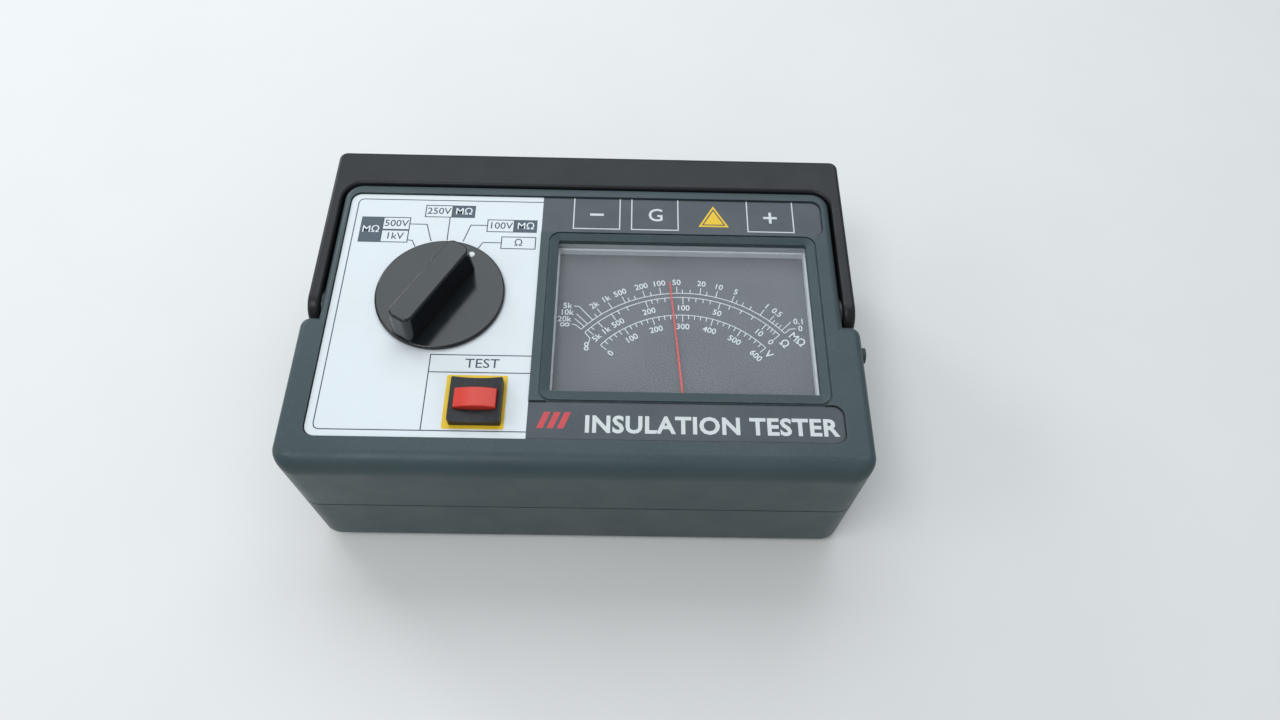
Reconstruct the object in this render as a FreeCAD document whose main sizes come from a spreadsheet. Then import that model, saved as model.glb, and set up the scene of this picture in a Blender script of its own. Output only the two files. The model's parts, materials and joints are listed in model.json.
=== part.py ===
"""Insulation resistance tester: a bench-top, battery-powered meter with a folding carrying handle.

Millimetres, +Z up, +Y towards the terminals at the back, +X to the right of the panel.
The origin is the centre of the footprint, on the surface that the feet stand on.
"""
import FreeCAD, Part
import Sketcher
import math
import os
from types import SimpleNamespace

Vector = FreeCAD.Vector
doc = FreeCAD.newDocument("insulation_tester")

# ---------------------------------------------------------------- driving dimensions
DIMENSIONS = {
    # case
    "case_width": 220.0,
    "case_depth": 150.0,
    "case_bottom": 2.0,
    "split_height": 38.0,
    "panel_top": 74.5,
    "wall_thick": 3.0,
    "panel_thick": 3.5,
    "case_corner": 8.5,
    "bottom_round": 3.0,
    "rim_round": 3.0,
    "front_round": 7.5,
    "frame_half": 103.3,
    "frame_back": 56.5,
    "frame_corner": 7.5,
    "shoulder_back": -11.0,
    "shoulder_corner": 4.0,
    "ledge_top": 55.5,
    "seal_width": 1.2,
    "seam_tall": 0.8,
    "seam_deep": 0.5,
    # carrying handle
    "handle_half": 109.5,
    "arm_thick": 5.0,
    "bar_front": 57.5,
    "bar_back": 75.0,
    "handle_bottom": 56.0,
    "handle_top": 73.5,
    "pivot_y": -0.5,
    "pin_radius": 4.0,
    # panel recess and overlay
    "overlay_left": -100.0,
    "overlay_right": 99.6,
    "overlay_front": -62.4,
    "overlay_back": 51.4,
    "overlay_corner": 4.2,
    "overlay_thick": 0.6,
    "recess_deep": 1.4,
    "overlay_gap": 0.15,
    "land_left": -18.6,
    "land_front": -46.5,
    "land_back": 32.6,
    # meter window and movement
    "window_left": -11.2,
    "window_right": 91.9,
    "window_front": -41.8,
    "window_back": 28.8,
    "bezel_side": 3.1,
    "bezel_front": 4.2,
    "bezel_back": 2.8,
    "bezel_deep": 1.2,
    "bezel_groove": 0.75,
    "meter_left": -13.3,
    "meter_right": 94.0,
    "meter_front": -61.0,
    "meter_back": 29.8,
    "meter_bottom": 40.0,
    "meter_split": 64.0,
    "cover_bevel": 0.7,
    "plate_top": 65.7,
    "needle_x": 40.35,
    "needle_y": -46.3,
    "needle_reach": 59.8,
    "needle_rest": 4.9,
    # range switch and knob
    "knob_x": -56.8,
    "knob_y": 0.3,
    "skirt_radius": 25.7,
    "skirt_thick": 1.5,
    "knob_gap": 0.5,
    "knob_top": 88.7,
    "grip_foot_half": 5.8,
    "grip_head_half": 5.0,
    "grip_corner": 3.2,
    "dot_reach": 21.6,
    "knob_point": 30.0,
    "shaft_radius": 3.0,
    "bush_radius": 4.7,
    "nut_hole": 8.2,
    "washer_thick": 0.4,
    "nut_thick": 1.4,
    # test button
    "button_x": -37.8,
    "button_y": -47.8,
    "button_wide": 15.8,
    "button_deep": 8.0,
    "button_crown": 79.6,
    "surround_wide": 19.4,
    "surround_deep": 18.4,
    "surround_top": 77.8,
    "surround_dish": 1.3,
    # terminals
    "socket_height": 46.0,
    "socket_minus_x": 4.3,
    "socket_guard_x": 28.8,
    "socket_plus_x": 77.8,
    "socket_bore": 2.0,
    # circuit board and battery
    "board_bottom": 24.0,
    "board_thick": 1.6,
    "cell_radius": 7.1,
    "cell_length": 50.0,
    "cell_pitch": 14.6,
}

sheet = doc.addObject("Spreadsheet::Sheet", "sizes")
for row, (alias, number) in enumerate(DIMENSIONS.items(), start=1):
    sheet.set(f"A{row}", alias)
    sheet.set(f"B{row}", str(number))
    sheet.setAlias(f"B{row}", alias)
doc.recompute()


class Size:
    """A length that keeps the spreadsheet expression it comes from beside its value."""

    def __init__(self, text, value):
        self.text = text
        self.value = value

    def __add__(self, other):
        other = size(other)
        return Size(f"({self.text} + {other.text})", self.value + other.value)

    def __sub__(self, other):
        other = size(other)
        return Size(f"({self.text} - {other.text})", self.value - other.value)

    def __mul__(self, other):
        other = size(other)
        return Size(f"({self.text} * {other.text})", self.value * other.value)

    def __truediv__(self, other):
        other = size(other)
        return Size(f"({self.text} / {other.text})", self.value / other.value)

    def __neg__(self):
        return Size(f"(0 - {self.text})", -self.value)

    def __radd__(self, other):
        return size(other) + self

    def __rsub__(self, other):
        return size(other) - self

    def __rmul__(self, other):
        return size(other) * self


def size(number):
    """A plain number as a Size, so that both kinds can be mixed in one sum."""
    return number if isinstance(number, Size) else Size(f"({float(number)})", float(number))


d = SimpleNamespace(**{k: Size(f"sizes.{k}", float(v)) for k, v in DIMENSIONS.items()})

# ---------------------------------------------------------------- helpers
AXIS_TURN = {
    "Z": FreeCAD.Rotation(),
    "X": FreeCAD.Rotation(Vector(0, 1, 0), 90),
    "Y": FreeCAD.Rotation(Vector(1, 0, 0), -90),
}
PLANE_ROLE = {"Z": "XY_Plane", "Y": "XZ_Plane", "X": "YZ_Plane"}


def bind(item, path, amount):
    """Tie one property of an object to the spreadsheet."""
    item.setExpression(path, size(amount).text)


def put(item, x, y, z):
    """Tie an object's position to the spreadsheet."""
    for letter, amount in zip("xyz", (x, y, z)):
        bind(item, f"Placement.Base.{letter}", amount)
    return item


def block(name, x, y, z):
    """A box from its low and high limits along X, Y and Z."""
    item = doc.addObject("Part::Box", name)
    for field, (low, high) in zip(("Length", "Width", "Height"), (x, y, z)):
        bind(item, field, size(high) - low)
    return put(item, x[0], y[0], z[0])


def rod(name, x, y, z, radius, length, axis="Z"):
    """A cylinder that starts at a point and runs along +axis."""
    item = doc.addObject("Part::Cylinder", name)
    item.Placement.Rotation = AXIS_TURN[axis]
    bind(item, "Radius", radius)
    bind(item, "Height", length)
    return put(item, x, y, z)


def ring(name, x, y, z, outer, inner, length, axis="Z"):
    """A tube, bush or washer."""
    outside = rod(name + "_outside", x, y, z, outer, length, axis)
    inside = rod(name + "_inside", x, y, z, inner, length, axis)
    return cut(name, outside, inside)


def join(name, *items):
    """One solid out of pieces that touch or overlap."""
    item = doc.addObject("Part::MultiFuse", name)
    item.Shapes = list(items)
    item.Refine = True
    return item


def group(name, *items):
    """Separate, identical or matching solids that share one node."""
    item = doc.addObject("Part::Compound", name)
    item.Links = list(items)
    return item


def cut(name, base, *tools):
    """A solid with one or more tools taken out of it."""
    item = doc.addObject("Part::Cut", name)
    item.Base = base
    item.Tool = tools[0] if len(tools) == 1 else join(name + "_tools", *tools)
    item.Refine = True
    return item


def new_body(name):
    body = doc.addObject("PartDesign::Body", name)
    body.Label = name
    return body


def new_sketch(body, name, axis, offset):
    """A sketch on one of the body's own origin planes, moved along the axis by offset."""
    sketch = body.newObject("Sketcher::SketchObject", name)
    role = PLANE_ROLE[axis]
    plane = next(f for f in body.Origin.OriginFeatures if f.Role == role)
    sketch.AttachmentSupport = [(plane, "")]
    sketch.MapMode = "FlatFace"
    bind(sketch, "AttachmentOffset.Base.z", -size(offset) if axis == "Y" else offset)
    return sketch


def pin_to_origin(sketch, kind, geometry, point, amount):
    """Place one point of a sketch at a signed distance from the origin."""
    constraint = Sketcher.Constraint(kind, -1, 1, geometry, point, size(amount).value)
    number = sketch.addConstraint(constraint)
    bind(sketch, f"Constraints[{number}]", amount)


def set_radius(sketch, geometry, radius):
    number = sketch.addConstraint(Sketcher.Constraint("Radius", geometry, size(radius).value))
    bind(sketch, f"Constraints[{number}]", radius)


def rounded_outline(sketch, x, y, front_radius, back_radius=None):
    """A rectangle with tangent corner arcs: one radius at low Y and one at high Y."""
    back_radius = front_radius if back_radius is None else back_radius
    left, right, low, high = (size(v).value for v in (*x, *y))
    f, b = size(front_radius).value, size(back_radius).value
    front_corners = [(right - f, low + f, f), (left + f, low + f, f)]
    back_corners = [(right - b, high - b, b), (left + b, high - b, b)]
    corners = [front_corners[0], *back_corners, front_corners[1]]
    first = sketch.GeometryCount
    normal = Vector(0, 0, 1)
    for quarter, (cx, cy, radius) in enumerate(corners):
        circle = Part.Circle(Vector(cx, cy, 0), normal, radius)
        start = (quarter - 1) * math.pi / 2
        sketch.addGeometry(Part.ArcOfCircle(circle, start, start + math.pi / 2))
    ends = [
        (Vector(right, low + f, 0), Vector(right, high - b, 0)),
        (Vector(right - b, high, 0), Vector(left + b, high, 0)),
        (Vector(left, high - b, 0), Vector(left, low + f, 0)),
        (Vector(left + f, low, 0), Vector(right - f, low, 0)),
    ]
    for start, end in ends:
        sketch.addGeometry(Part.LineSegment(start, end))
    for side in range(4):
        line = first + 4 + side
        arc_before, arc_after = first + side, first + (side + 1) % 4
        sketch.addConstraint(Sketcher.Constraint("Tangent", arc_before, 2, line, 1))
        sketch.addConstraint(Sketcher.Constraint("Tangent", line, 2, arc_after, 1))
        sketch.addConstraint(Sketcher.Constraint("Horizontal" if side % 2 else "Vertical", line))
    radii = (front_radius, back_radius, back_radius, front_radius)
    for arc, radius in zip(range(first, first + 4), radii):
        set_radius(sketch, arc, radius)
    pin_to_origin(sketch, "DistanceX", first + 4, 1, x[1])
    pin_to_origin(sketch, "DistanceX", first + 6, 1, x[0])
    pin_to_origin(sketch, "DistanceY", first + 5, 1, y[1])
    pin_to_origin(sketch, "DistanceY", first + 7, 1, y[0])


def circle_outline(sketch, x, y, radius):
    centre = Vector(size(x).value, size(y).value, 0)
    circle = Part.Circle(centre, Vector(0, 0, 1), size(radius).value)
    number = sketch.addGeometry(circle)
    set_radius(sketch, number, radius)
    pin_to_origin(sketch, "DistanceX", number, 3, x)
    pin_to_origin(sketch, "DistanceY", number, 3, y)


def polygon_outline(sketch, points):
    """A closed outline of straight lines, each corner tied to the spreadsheet."""
    first = sketch.GeometryCount
    places = [Vector(size(px).value, size(py).value, 0) for px, py in points]
    for start, end in zip(places, places[1:] + places[:1]):
        sketch.addGeometry(Part.LineSegment(start, end))
    for number, (px, py) in enumerate(points):
        line = first + number
        following = first + (number + 1) % len(points)
        sketch.addConstraint(Sketcher.Constraint("Coincident", line, 2, following, 1))
        pin_to_origin(sketch, "DistanceX", line, 1, px)
        pin_to_origin(sketch, "DistanceY", line, 1, py)


def grow(body, kind, sketch, length, reverse=False):
    """A Pad or Pocket of a sketch, checked to have changed the body's volume."""
    before = body.Shape.Volume if body.Shape and not body.Shape.isNull() else 0.0
    feature = body.newObject(f"PartDesign::{kind}", f"{sketch.Name}_{kind.lower()}")
    feature.Profile = sketch
    bind(feature, "Length", length)
    feature.Reversed = reverse
    doc.recompute()
    change = body.Shape.Volume - before
    if change * (1 if kind == "Pad" else -1) < 1e-6:
        raise ValueError(f"{feature.Name} changed nothing")
    return feature


def pad_slab(body, name, x, y, z, front_radius, back_radius=None):
    """Pad a rounded rectangle from the lower to the upper height."""
    sketch = new_sketch(body, name, "Z", z[0])
    rounded_outline(sketch, x, y, front_radius, back_radius)
    return grow(body, "Pad", sketch, size(z[1]) - z[0])


def pocket_slab(body, name, x, y, z, front_radius, back_radius=None):
    """Cut a rounded rectangle from the upper height down to the lower one."""
    sketch = new_sketch(body, name, "Z", z[1])
    rounded_outline(sketch, x, y, front_radius, back_radius)
    return grow(body, "Pocket", sketch, size(z[1]) - z[0])


def posts(body, kind, name, places, radius, z):
    """Round posts or holes, all of one size, at a list of places."""
    start = z[0] if kind == "Pad" else z[1]
    sketch = new_sketch(body, name, "Z", start)
    for px, py in places:
        circle_outline(sketch, px, py, radius)
    return grow(body, kind, sketch, size(z[1]) - z[0])


def slab(name, x, y, z, front_radius, back_radius=None):
    """A rounded plate as a body of its own."""
    body = new_body(name)
    pad_slab(body, name + "_outline", x, y, z, front_radius, back_radius)
    return body


def round_edges(body, name, radius, chosen, kind="Fillet"):
    """Fillet or chamfer the edges of the body's last feature that the test picks."""
    tip = body.Tip
    names = [f"Edge{n}" for n, edge in enumerate(tip.Shape.Edges, start=1) if chosen(edge)]
    feature = body.newObject(f"PartDesign::{kind}", name)
    feature.Base = (tip, names)
    bind(feature, "Radius" if kind == "Fillet" else "Size", radius)
    doc.recompute()
    return feature


def edge_at_height(height, test=None):
    """A test for edges that lie flat at one height."""
    level = size(height).value

    def chosen(edge):
        limits = edge.BoundBox
        flat = abs(limits.ZMin - level) < 1e-3 and abs(limits.ZMax - level) < 1e-3
        return flat and (test is None or test(limits))

    return chosen


# ---------------------------------------------------------------- shared places
half_width = d.case_width / 2
half_depth = d.case_depth / 2
inner_width = half_width - d.wall_thick
inner_depth = half_depth - d.wall_thick
panel_under = d.panel_top - d.panel_thick
recess_floor = d.panel_top - d.recess_deep
overlay_top = recess_floor + d.overlay_thick
washer_top = recess_floor + d.washer_thick
nut_top = washer_top + d.nut_thick
pivot_height = (d.handle_bottom + d.handle_top) / 2
arm_radius = (d.handle_top - d.handle_bottom) / 2
frame_inner = d.frame_half - d.wall_thick
floor_top = d.case_bottom + d.wall_thick
board_top = d.board_bottom + d.board_thick
case_screw_places = [(-98, -66), (98, -66), (-95, 47), (95, 47)]
board_post_places = [(-82, -56), (82, -56), (-82, 44), (82, 44)]
meter_post_places = [(-18.9, -50), (-18.9, 20), (97.6, -50), (97.6, 20)]
foot_places = [(-80, -60), (80, -60), (-80, 58), (80, 58)]
socket_places = [d.socket_minus_x, d.socket_guard_x, d.socket_plus_x]
scale_screw_places = [(-6, -52), (85, -52)]
scale_pillar_places = [(-6, 22), (85, 22), *scale_screw_places]
grub_height = 81
cover_screw_places = [(-103, -1.5), (0, -1.5)]
battery_x = (-98, -5)
battery_y = (-29.5, 26.5)
flange_x = (-105.5, 2.5)
flange_y = (-31, 28)


# ---------------------------------------------------------------- case
def rim_radii(edge):
    """Rounding at each end of a panel-rim edge: full along the front, slight elsewhere."""
    slight, full = DIMENSIONS["rim_round"], DIMENSIONS["front_round"]
    front = -half_depth.value + 0.01

    def radius_at(parameter):
        return full if edge.valueAt(parameter).y < front else slight

    return radius_at(edge.FirstParameter), radius_at(edge.LastParameter)


def make_upper_blank():
    """Outside of the top half: skirt, full-width shoulder and narrower raised frame."""
    body = new_body("upper_blank")
    full_x, full_y = (-half_width, half_width), (-half_depth, half_depth)
    frame_x = (-d.frame_half, d.frame_half)
    pad_slab(body, "upper_skirt", full_x, full_y, (d.split_height, d.ledge_top), d.case_corner)
    shoulder_y = (-half_depth, d.shoulder_back)
    shoulder_z = (d.split_height + 4, d.panel_top)
    corners = (d.case_corner, d.shoulder_corner)
    pad_slab(body, "upper_shoulder", full_x, shoulder_y, shoulder_z, *corners)
    frame_y = (-40, d.frame_back)
    pad_slab(body, "upper_frame", frame_x, frame_y, shoulder_z, 2, d.frame_corner)
    on_rim = edge_at_height(d.panel_top)
    rounded = doc.addObject("Part::Fillet", "upper_rounded")
    rounded.Base = body
    edges = enumerate(body.Shape.Edges, start=1)
    rounded.Edges = [(number, *rim_radii(edge)) for number, edge in edges if on_rim(edge)]
    doc.recompute()
    return rounded


def make_upper_case():
    """Moulded top half: flat panel, raised frame at the back, ledges for the handle."""
    body = new_body("upper_case")
    body.BaseFeature = make_upper_blank()
    doc.recompute()
    # inside: full width up to the ledge and at the front, narrower inside the frame
    skirt_x, skirt_y = (-inner_width, inner_width), (-inner_depth, inner_depth)
    ledge_under = d.ledge_top - d.wall_thick
    pocket_slab(body, "upper_hollow", skirt_x, skirt_y, (d.split_height, ledge_under), 5.5)
    front_y = (-inner_depth, d.shoulder_back - d.wall_thick)
    hollow_z = (d.split_height, panel_under)
    pocket_slab(body, "front_hollow", skirt_x, front_y, hollow_z, 5.5, 1)
    frame_hollow_x, frame_hollow_y = (-frame_inner, frame_inner), (-60, d.frame_back - d.wall_thick)
    pocket_slab(body, "frame_hollow", frame_hollow_x, frame_hollow_y, hollow_z, 2, 4.5)
    # recess for the overlay, wrapped round the meter's land
    recess_z = (recess_floor, d.panel_top)
    corner = d.overlay_corner
    left_x = (d.overlay_left, d.land_left)
    strip_x = (d.land_left - 12, d.overlay_right)
    pocket_slab(body, "left_recess", left_x, (d.overlay_front, d.overlay_back), recess_z, corner)
    pocket_slab(body, "top_recess", strip_x, (d.land_back, d.overlay_back), recess_z, corner)
    pocket_slab(body, "low_recess", strip_x, (d.overlay_front, d.land_front), recess_z, corner)
    # meter window with a shallow sloping surround, and a fine groove round that
    window_x, window_y = (d.window_left, d.window_right), (d.window_front, d.window_back)
    slope = body.newObject("PartDesign::SubtractiveLoft", "window_slope")
    wide = new_sketch(body, "slope_top", "Z", d.panel_top + 0.01)
    slope_x = (d.window_left - d.bezel_side, d.window_right + d.bezel_side)
    slope_y = (d.window_front - d.bezel_front, d.window_back + d.bezel_back)
    rounded_outline(wide, slope_x, slope_y, 4)
    narrow = new_sketch(body, "slope_foot", "Z", d.panel_top - d.bezel_deep)
    rounded_outline(narrow, window_x, window_y, 1)
    slope.Profile = wide
    slope.Sections = [narrow]
    doc.recompute()
    pocket_slab(body, "window_hole", window_x, window_y, (panel_under - 1, d.panel_top), 1)
    groove = new_sketch(body, "window_groove", "Z", d.panel_top)
    wide = d.bezel_groove
    groove_x = (slope_x[0] - wide, slope_x[1] + wide)
    groove_y = (slope_y[0] - wide, slope_y[1] + wide)
    rounded_outline(groove, slope_x, slope_y, 4)
    rounded_outline(groove, groove_x, groove_y, 4.5)
    grow(body, "Pocket", groove, wide)
    # bosses for the case screws, and posts that carry the meter
    posts(body, "Pad", "screw_bosses", case_screw_places, 4.2, (d.split_height, panel_under + 1))
    pilot_z = (d.split_height, d.split_height + 14)
    posts(body, "Pocket", "screw_pilots", case_screw_places, 1.5, pilot_z)
    posts(body, "Pad", "meter_posts", meter_post_places, 3, (d.meter_split, panel_under + 1))
    posts(body, "Pocket", "meter_pilots", meter_post_places, 1, (d.meter_split, d.meter_split + 5))
    # switch bush, button body, handle pins, strap stud and terminals
    through = (panel_under - 1, d.panel_top)
    posts(body, "Pocket", "switch_hole", [(d.knob_x, d.knob_y)], d.bush_radius + 0.1, through)
    button_x = (d.button_x - 8.6, d.button_x + 8.6)
    button_y = (d.button_y - 8.1, d.button_y + 8.1)
    pocket_slab(body, "button_hole", button_x, button_y, through, 1)
    pins = new_sketch(body, "pin_holes", "X", half_width)
    circle_outline(pins, d.pivot_y, pivot_height, d.pin_radius)
    grow(body, "Pocket", pins, d.case_width)
    stud = new_sketch(body, "stud_hole", "X", half_width)
    circle_outline(stud, -20, 66, 1.6)
    grow(body, "Pocket", stud, 6)
    terminals = new_sketch(body, "terminal_hole", "Y", half_depth)
    rounded_outline(terminals, (-7, 89), (d.socket_height - 5.6, d.socket_height + 5.6), 1.5)
    grow(body, "Pocket", terminals, 6, reverse=True)
    return body


def make_lower_case():
    """Moulded tub: bosses for the case screws, posts for the board, opening for the battery."""
    body = new_body("lower_case")
    full_x, full_y = (-half_width, half_width), (-half_depth, half_depth)
    pad_slab(body, "tub", full_x, full_y, (d.case_bottom, d.split_height), d.case_corner)
    round_edges(body, "tub_round", d.bottom_round, edge_at_height(d.case_bottom))
    hollow_x, hollow_y = (-inner_width, inner_width), (-inner_depth, inner_depth)
    pocket_slab(body, "tub_hollow", hollow_x, hollow_y, (floor_top, d.split_height), 5.5)
    posts(body, "Pad", "case_bosses", case_screw_places, 4.6, (floor_top - 1, d.split_height))
    posts(body, "Pad", "board_posts", board_post_places, 3.5, (floor_top - 1, d.board_bottom))
    pilot_z = (d.board_bottom - 8, d.board_bottom)
    posts(body, "Pocket", "board_pilots", board_post_places, 1.2, pilot_z)
    groove_z = (d.split_height - d.seal_width, d.split_height)
    lip = (d.wall_thick - d.seal_width) / 2
    outer_x, outer_y = (-half_width + lip, half_width - lip), (-half_depth + lip, half_depth - lip)
    step = lip + d.seal_width
    inner_x = (-half_width + step, half_width - step)
    inner_y = (-half_depth + step, half_depth - step)
    groove = new_sketch(body, "seal_groove", "Z", groove_z[1])
    rounded_outline(groove, outer_x, outer_y, 7.6)
    rounded_outline(groove, inner_x, inner_y, 6.4)
    grow(body, "Pocket", groove, d.seal_width)
    seam = new_sketch(body, "seam_line", "Z", d.split_height)
    rounded_outline(seam, (-half_width - 1, half_width + 1), (-half_depth - 1, half_depth + 1), 9.5)
    deep = d.seam_deep
    seam_x = (-half_width + deep, half_width - deep)
    seam_y = (-half_depth + deep, half_depth - deep)
    rounded_outline(seam, seam_x, seam_y, 8)
    grow(body, "Pocket", seam, d.seam_tall)
    posts(body, "Pocket", "screw_holes", case_screw_places, 1.8, (d.case_bottom, d.split_height))
    posts(body, "Pocket", "screw_heads", case_screw_places, 3.4, (d.case_bottom, d.case_bottom + 8))
    posts(body, "Pocket", "foot_seats", foot_places, 8.05, (d.case_bottom, d.case_bottom + 1))
    pocket_slab(body, "battery_opening", battery_x, battery_y, (d.case_bottom, floor_top), 2)
    pocket_slab(body, "cover_seat", flange_x, flange_y, (d.case_bottom, d.case_bottom + 1.2), 3)
    posts(body, "Pad", "cover_bosses", cover_screw_places, 2.8, (floor_top - 1, floor_top + 5))
    posts(body, "Pocket", "cover_pilots", cover_screw_places, 1.2, (d.case_bottom, floor_top + 4))
    pocket_slab(body, "plate_seat", (25, 80), (-18, 14), (d.case_bottom, d.case_bottom + 0.4), 1.5)
    return body


def make_case_seal():
    lip = (d.wall_thick - d.seal_width) / 2
    step = lip + d.seal_width
    z = (d.split_height - d.seal_width, d.split_height)
    wide, deep = half_width - lip, half_depth - lip
    outer = slab("seal_outer", (-wide, wide), (-deep, deep), z, 7.6)
    wide, deep = half_width - step, half_depth - step
    inner = slab("seal_inner", (-wide, wide), (-deep, deep), z, 6.4)
    return cut("case_seal", outer, inner)


def make_case_screws():
    """Long screws, put in from below, heads deep in their counterbores."""
    screws = []
    for number, (x, y) in enumerate(case_screw_places, start=1):
        name = f"case_screw_{number}"
        seat = d.case_bottom + 8
        head = rod(name + "_head", x, y, seat - 2, 3, 2)
        shank = rod(name + "_shank", x, y, seat, 1.48, 34)
        slot = block(name + "_slot", (x - 4, x + 4), (y - 0.3, y + 0.3), (seat - 3, seat - 1.3))
        screws.append(cut(name, join(name + "_blank", head, shank), slot))
    return group("case_screws", *screws)


def make_feet():
    feet = []
    for number, (x, y) in enumerate(foot_places, start=1):
        body = new_body(f"foot_{number}")
        posts(body, "Pad", f"foot_{number}_disc", [(x, y)], 8, (0, d.case_bottom + 1))
        round_edges(body, f"foot_{number}_round", 1, edge_at_height(0))
        feet.append(body)
    return group("rubber_feet", *feet)


def make_handle():
    """Moulded bail: a deep cored bar across the back and a round-ended arm at each side."""
    body = new_body("carrying_handle")
    z = (d.handle_bottom, d.handle_top)
    arm_inner = d.handle_half - d.arm_thick
    blank = new_sketch(body, "bail_blank", "Z", z[0])
    left, right = -d.handle_half, d.handle_half
    front, back = d.pivot_y, d.bar_back
    polygon_outline(blank, [(left, front), (right, front), (right, back), (left, back)])
    grow(body, "Pad", blank, z[1] - z[0])

    def upright_at_back(edge):
        limits = edge.BoundBox
        return limits.YMin > d.bar_back.value - 0.1 and limits.ZMax - limits.ZMin > 1

    round_edges(body, "bail_corners", 3.5, upright_at_back)
    ends = new_sketch(body, "arm_ends", "X", -d.handle_half)
    circle_outline(ends, d.pivot_y, pivot_height, arm_radius)
    grow(body, "Pad", ends, d.handle_half * 2)
    gap_y = (d.pivot_y - 30, d.bar_front)
    gap_z = (d.handle_bottom - 5, d.handle_top + 5)
    pocket_slab(body, "bail_gap", (-arm_inner, arm_inner), gap_y, gap_z, 2, 8.5)
    on_top = edge_at_height(d.handle_top, lambda limits: limits.YMax > d.pivot_y.value + 1)
    round_edges(body, "bail_round", 1.6, on_top)
    core_x, core_y = (-arm_inner + 4, arm_inner - 4), (d.bar_front + 3, d.bar_back - 3)
    pocket_slab(body, "bar_core", core_x, core_y, (d.handle_bottom, d.handle_top - 3.5), 2)
    pins = new_sketch(body, "arm_holes", "X", d.handle_half + 1)
    circle_outline(pins, d.pivot_y, pivot_height, d.pin_radius + 0.06)
    grow(body, "Pocket", pins, d.handle_half * 2 + 2)
    return body


def make_handle_pins():
    """A flanged pin at each side, pushed out through the frame wall from inside."""
    pins = []
    flange_inner = frame_inner - 2
    for side, start in (("left", -1), ("right", 1)):
        low = -d.handle_half if start < 0 else flange_inner
        long = d.handle_half - flange_inner
        shank = rod(f"{side}_shank", low, d.pivot_y, pivot_height, d.pin_radius - 0.01, long, "X")
        flange_x = -frame_inner if start < 0 else flange_inner
        flange = rod(f"{side}_flange", flange_x, d.pivot_y, pivot_height, 6, 2, "X")
        pins.append(join(f"{side}_pin", shank, flange))
    return group("handle_pins", *pins)


def make_handle_washers():
    thick = d.handle_half - d.arm_thick - d.frame_half - 0.3
    start = d.frame_half + 0.1
    place = (d.pivot_y, pivot_height)
    sizes = (7, d.pin_radius + 0.05, thick, "X")
    right = ring("right_washer", start, *place, *sizes)
    left = ring("left_washer", -start - thick, *place, *sizes)
    return group("handle_washers", left, right)


def make_strap_stud():
    stem = rod("stud_stem", half_width - 5, -20, 66, 1.58, 5.9, "X")
    neck = rod("stud_neck", half_width, -20, 66, 2.2, 0.9, "X")
    head = rod("stud_head", half_width + 0.9, -20, 66, 3.2, 1.5, "X")
    return join("strap_stud", stem, neck, head)


# ---------------------------------------------------------------- panel
def overlay_slabs(name, grow_by, z):
    """The overlay's C shape: white field on the left, a strip above and below the meter."""
    left_x = (d.overlay_left + grow_by, d.land_left - grow_by)
    overlay_y = (d.overlay_front + grow_by, d.overlay_back - grow_by)
    strip_x = (d.land_left - 12, d.overlay_right - grow_by)
    upper_y = (d.land_back + grow_by, d.overlay_back - grow_by)
    lower_y = (d.overlay_front + grow_by, d.land_front - grow_by)
    corner = d.overlay_corner - grow_by
    return join(
        name,
        slab(name + "_field", left_x, overlay_y, z, corner),
        slab(name + "_upper_strip", strip_x, upper_y, z, corner),
        slab(name + "_lower_strip", strip_x, lower_y, z, corner),
    )


def make_overlay():
    sheet_z = (recess_floor, overlay_top)
    outline = overlay_slabs("overlay_sheet", d.overlay_gap, sheet_z)
    nut_hole = rod("overlay_nut_hole", d.knob_x, d.knob_y, recess_floor - 1, d.nut_hole, 4)
    button_hole = block("overlay_button_hole", (d.button_x - 8.7, d.button_x + 8.7),
                        (d.button_y - 8.2, d.button_y + 8.2), (recess_floor - 1, overlay_top + 1))
    return cut("panel_overlay", outline, nut_hole, button_hole)


def make_knob():
    """Round skirt with a tall drafted bar grip, hollow underneath, on a D-shaped shaft."""
    body = new_body("range_knob")
    skirt_low = overlay_top + d.knob_gap
    skirt_top = skirt_low + d.skirt_thick
    centre = [(0, 0)]
    posts(body, "Pad", "knob_skirt", centre, d.skirt_radius, (skirt_low, skirt_top))
    round_edges(body, "skirt_edge", 0.8, edge_at_height(skirt_top))
    grip = body.newObject("PartDesign::AdditiveLoft", "knob_grip")
    foot = new_sketch(body, "grip_foot", "Z", skirt_top - 1)
    foot_x, head_x = (-d.grip_foot_half, d.grip_foot_half), (-d.grip_head_half, d.grip_head_half)
    rounded_outline(foot, foot_x, (-24.8, 17.9), d.grip_corner)
    head = new_sketch(body, "grip_head", "Z", d.knob_top)
    rounded_outline(head, head_x, (-23.8, 17.1), d.grip_corner)
    grip.Profile = foot
    grip.Sections = [head]
    doc.recompute()
    round_edges(body, "grip_edge", 0.9, edge_at_height(d.knob_top))
    posts(body, "Pocket", "nut_room", centre, 9, (skirt_low, nut_top + 0.15))
    posts(body, "Pocket", "shaft_bore", centre, d.shaft_radius + 0.02, (skirt_low, d.knob_top - 4))
    dot = new_sketch(body, "dot_seat", "Z", skirt_top)
    circle_outline(dot, 0, d.dot_reach, 1.25)
    grow(body, "Pocket", dot, 0.8)
    screw_bore = new_sketch(body, "grub_bore", "X", 0)
    circle_outline(screw_bore, 0, grub_height, 1.5)
    grow(body, "Pocket", screw_bore, 8)
    return turned_with_knob(body)


def turned_with_knob(item):
    """Place a piece that is modelled on the knob's axis, pointing along +Y."""
    put(item, d.knob_x, d.knob_y, 0)
    item.Placement.Rotation = FreeCAD.Rotation(Vector(0, 0, 1), -DIMENSIONS["knob_point"])
    return item


def make_knob_dot():
    low = overlay_top + d.knob_gap + d.skirt_thick - 0.8
    body = new_body("knob_dot")
    posts(body, "Pad", "dot_disc", [(0, d.dot_reach)], 1.24, (low, low + 0.9))
    return turned_with_knob(body)


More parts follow.
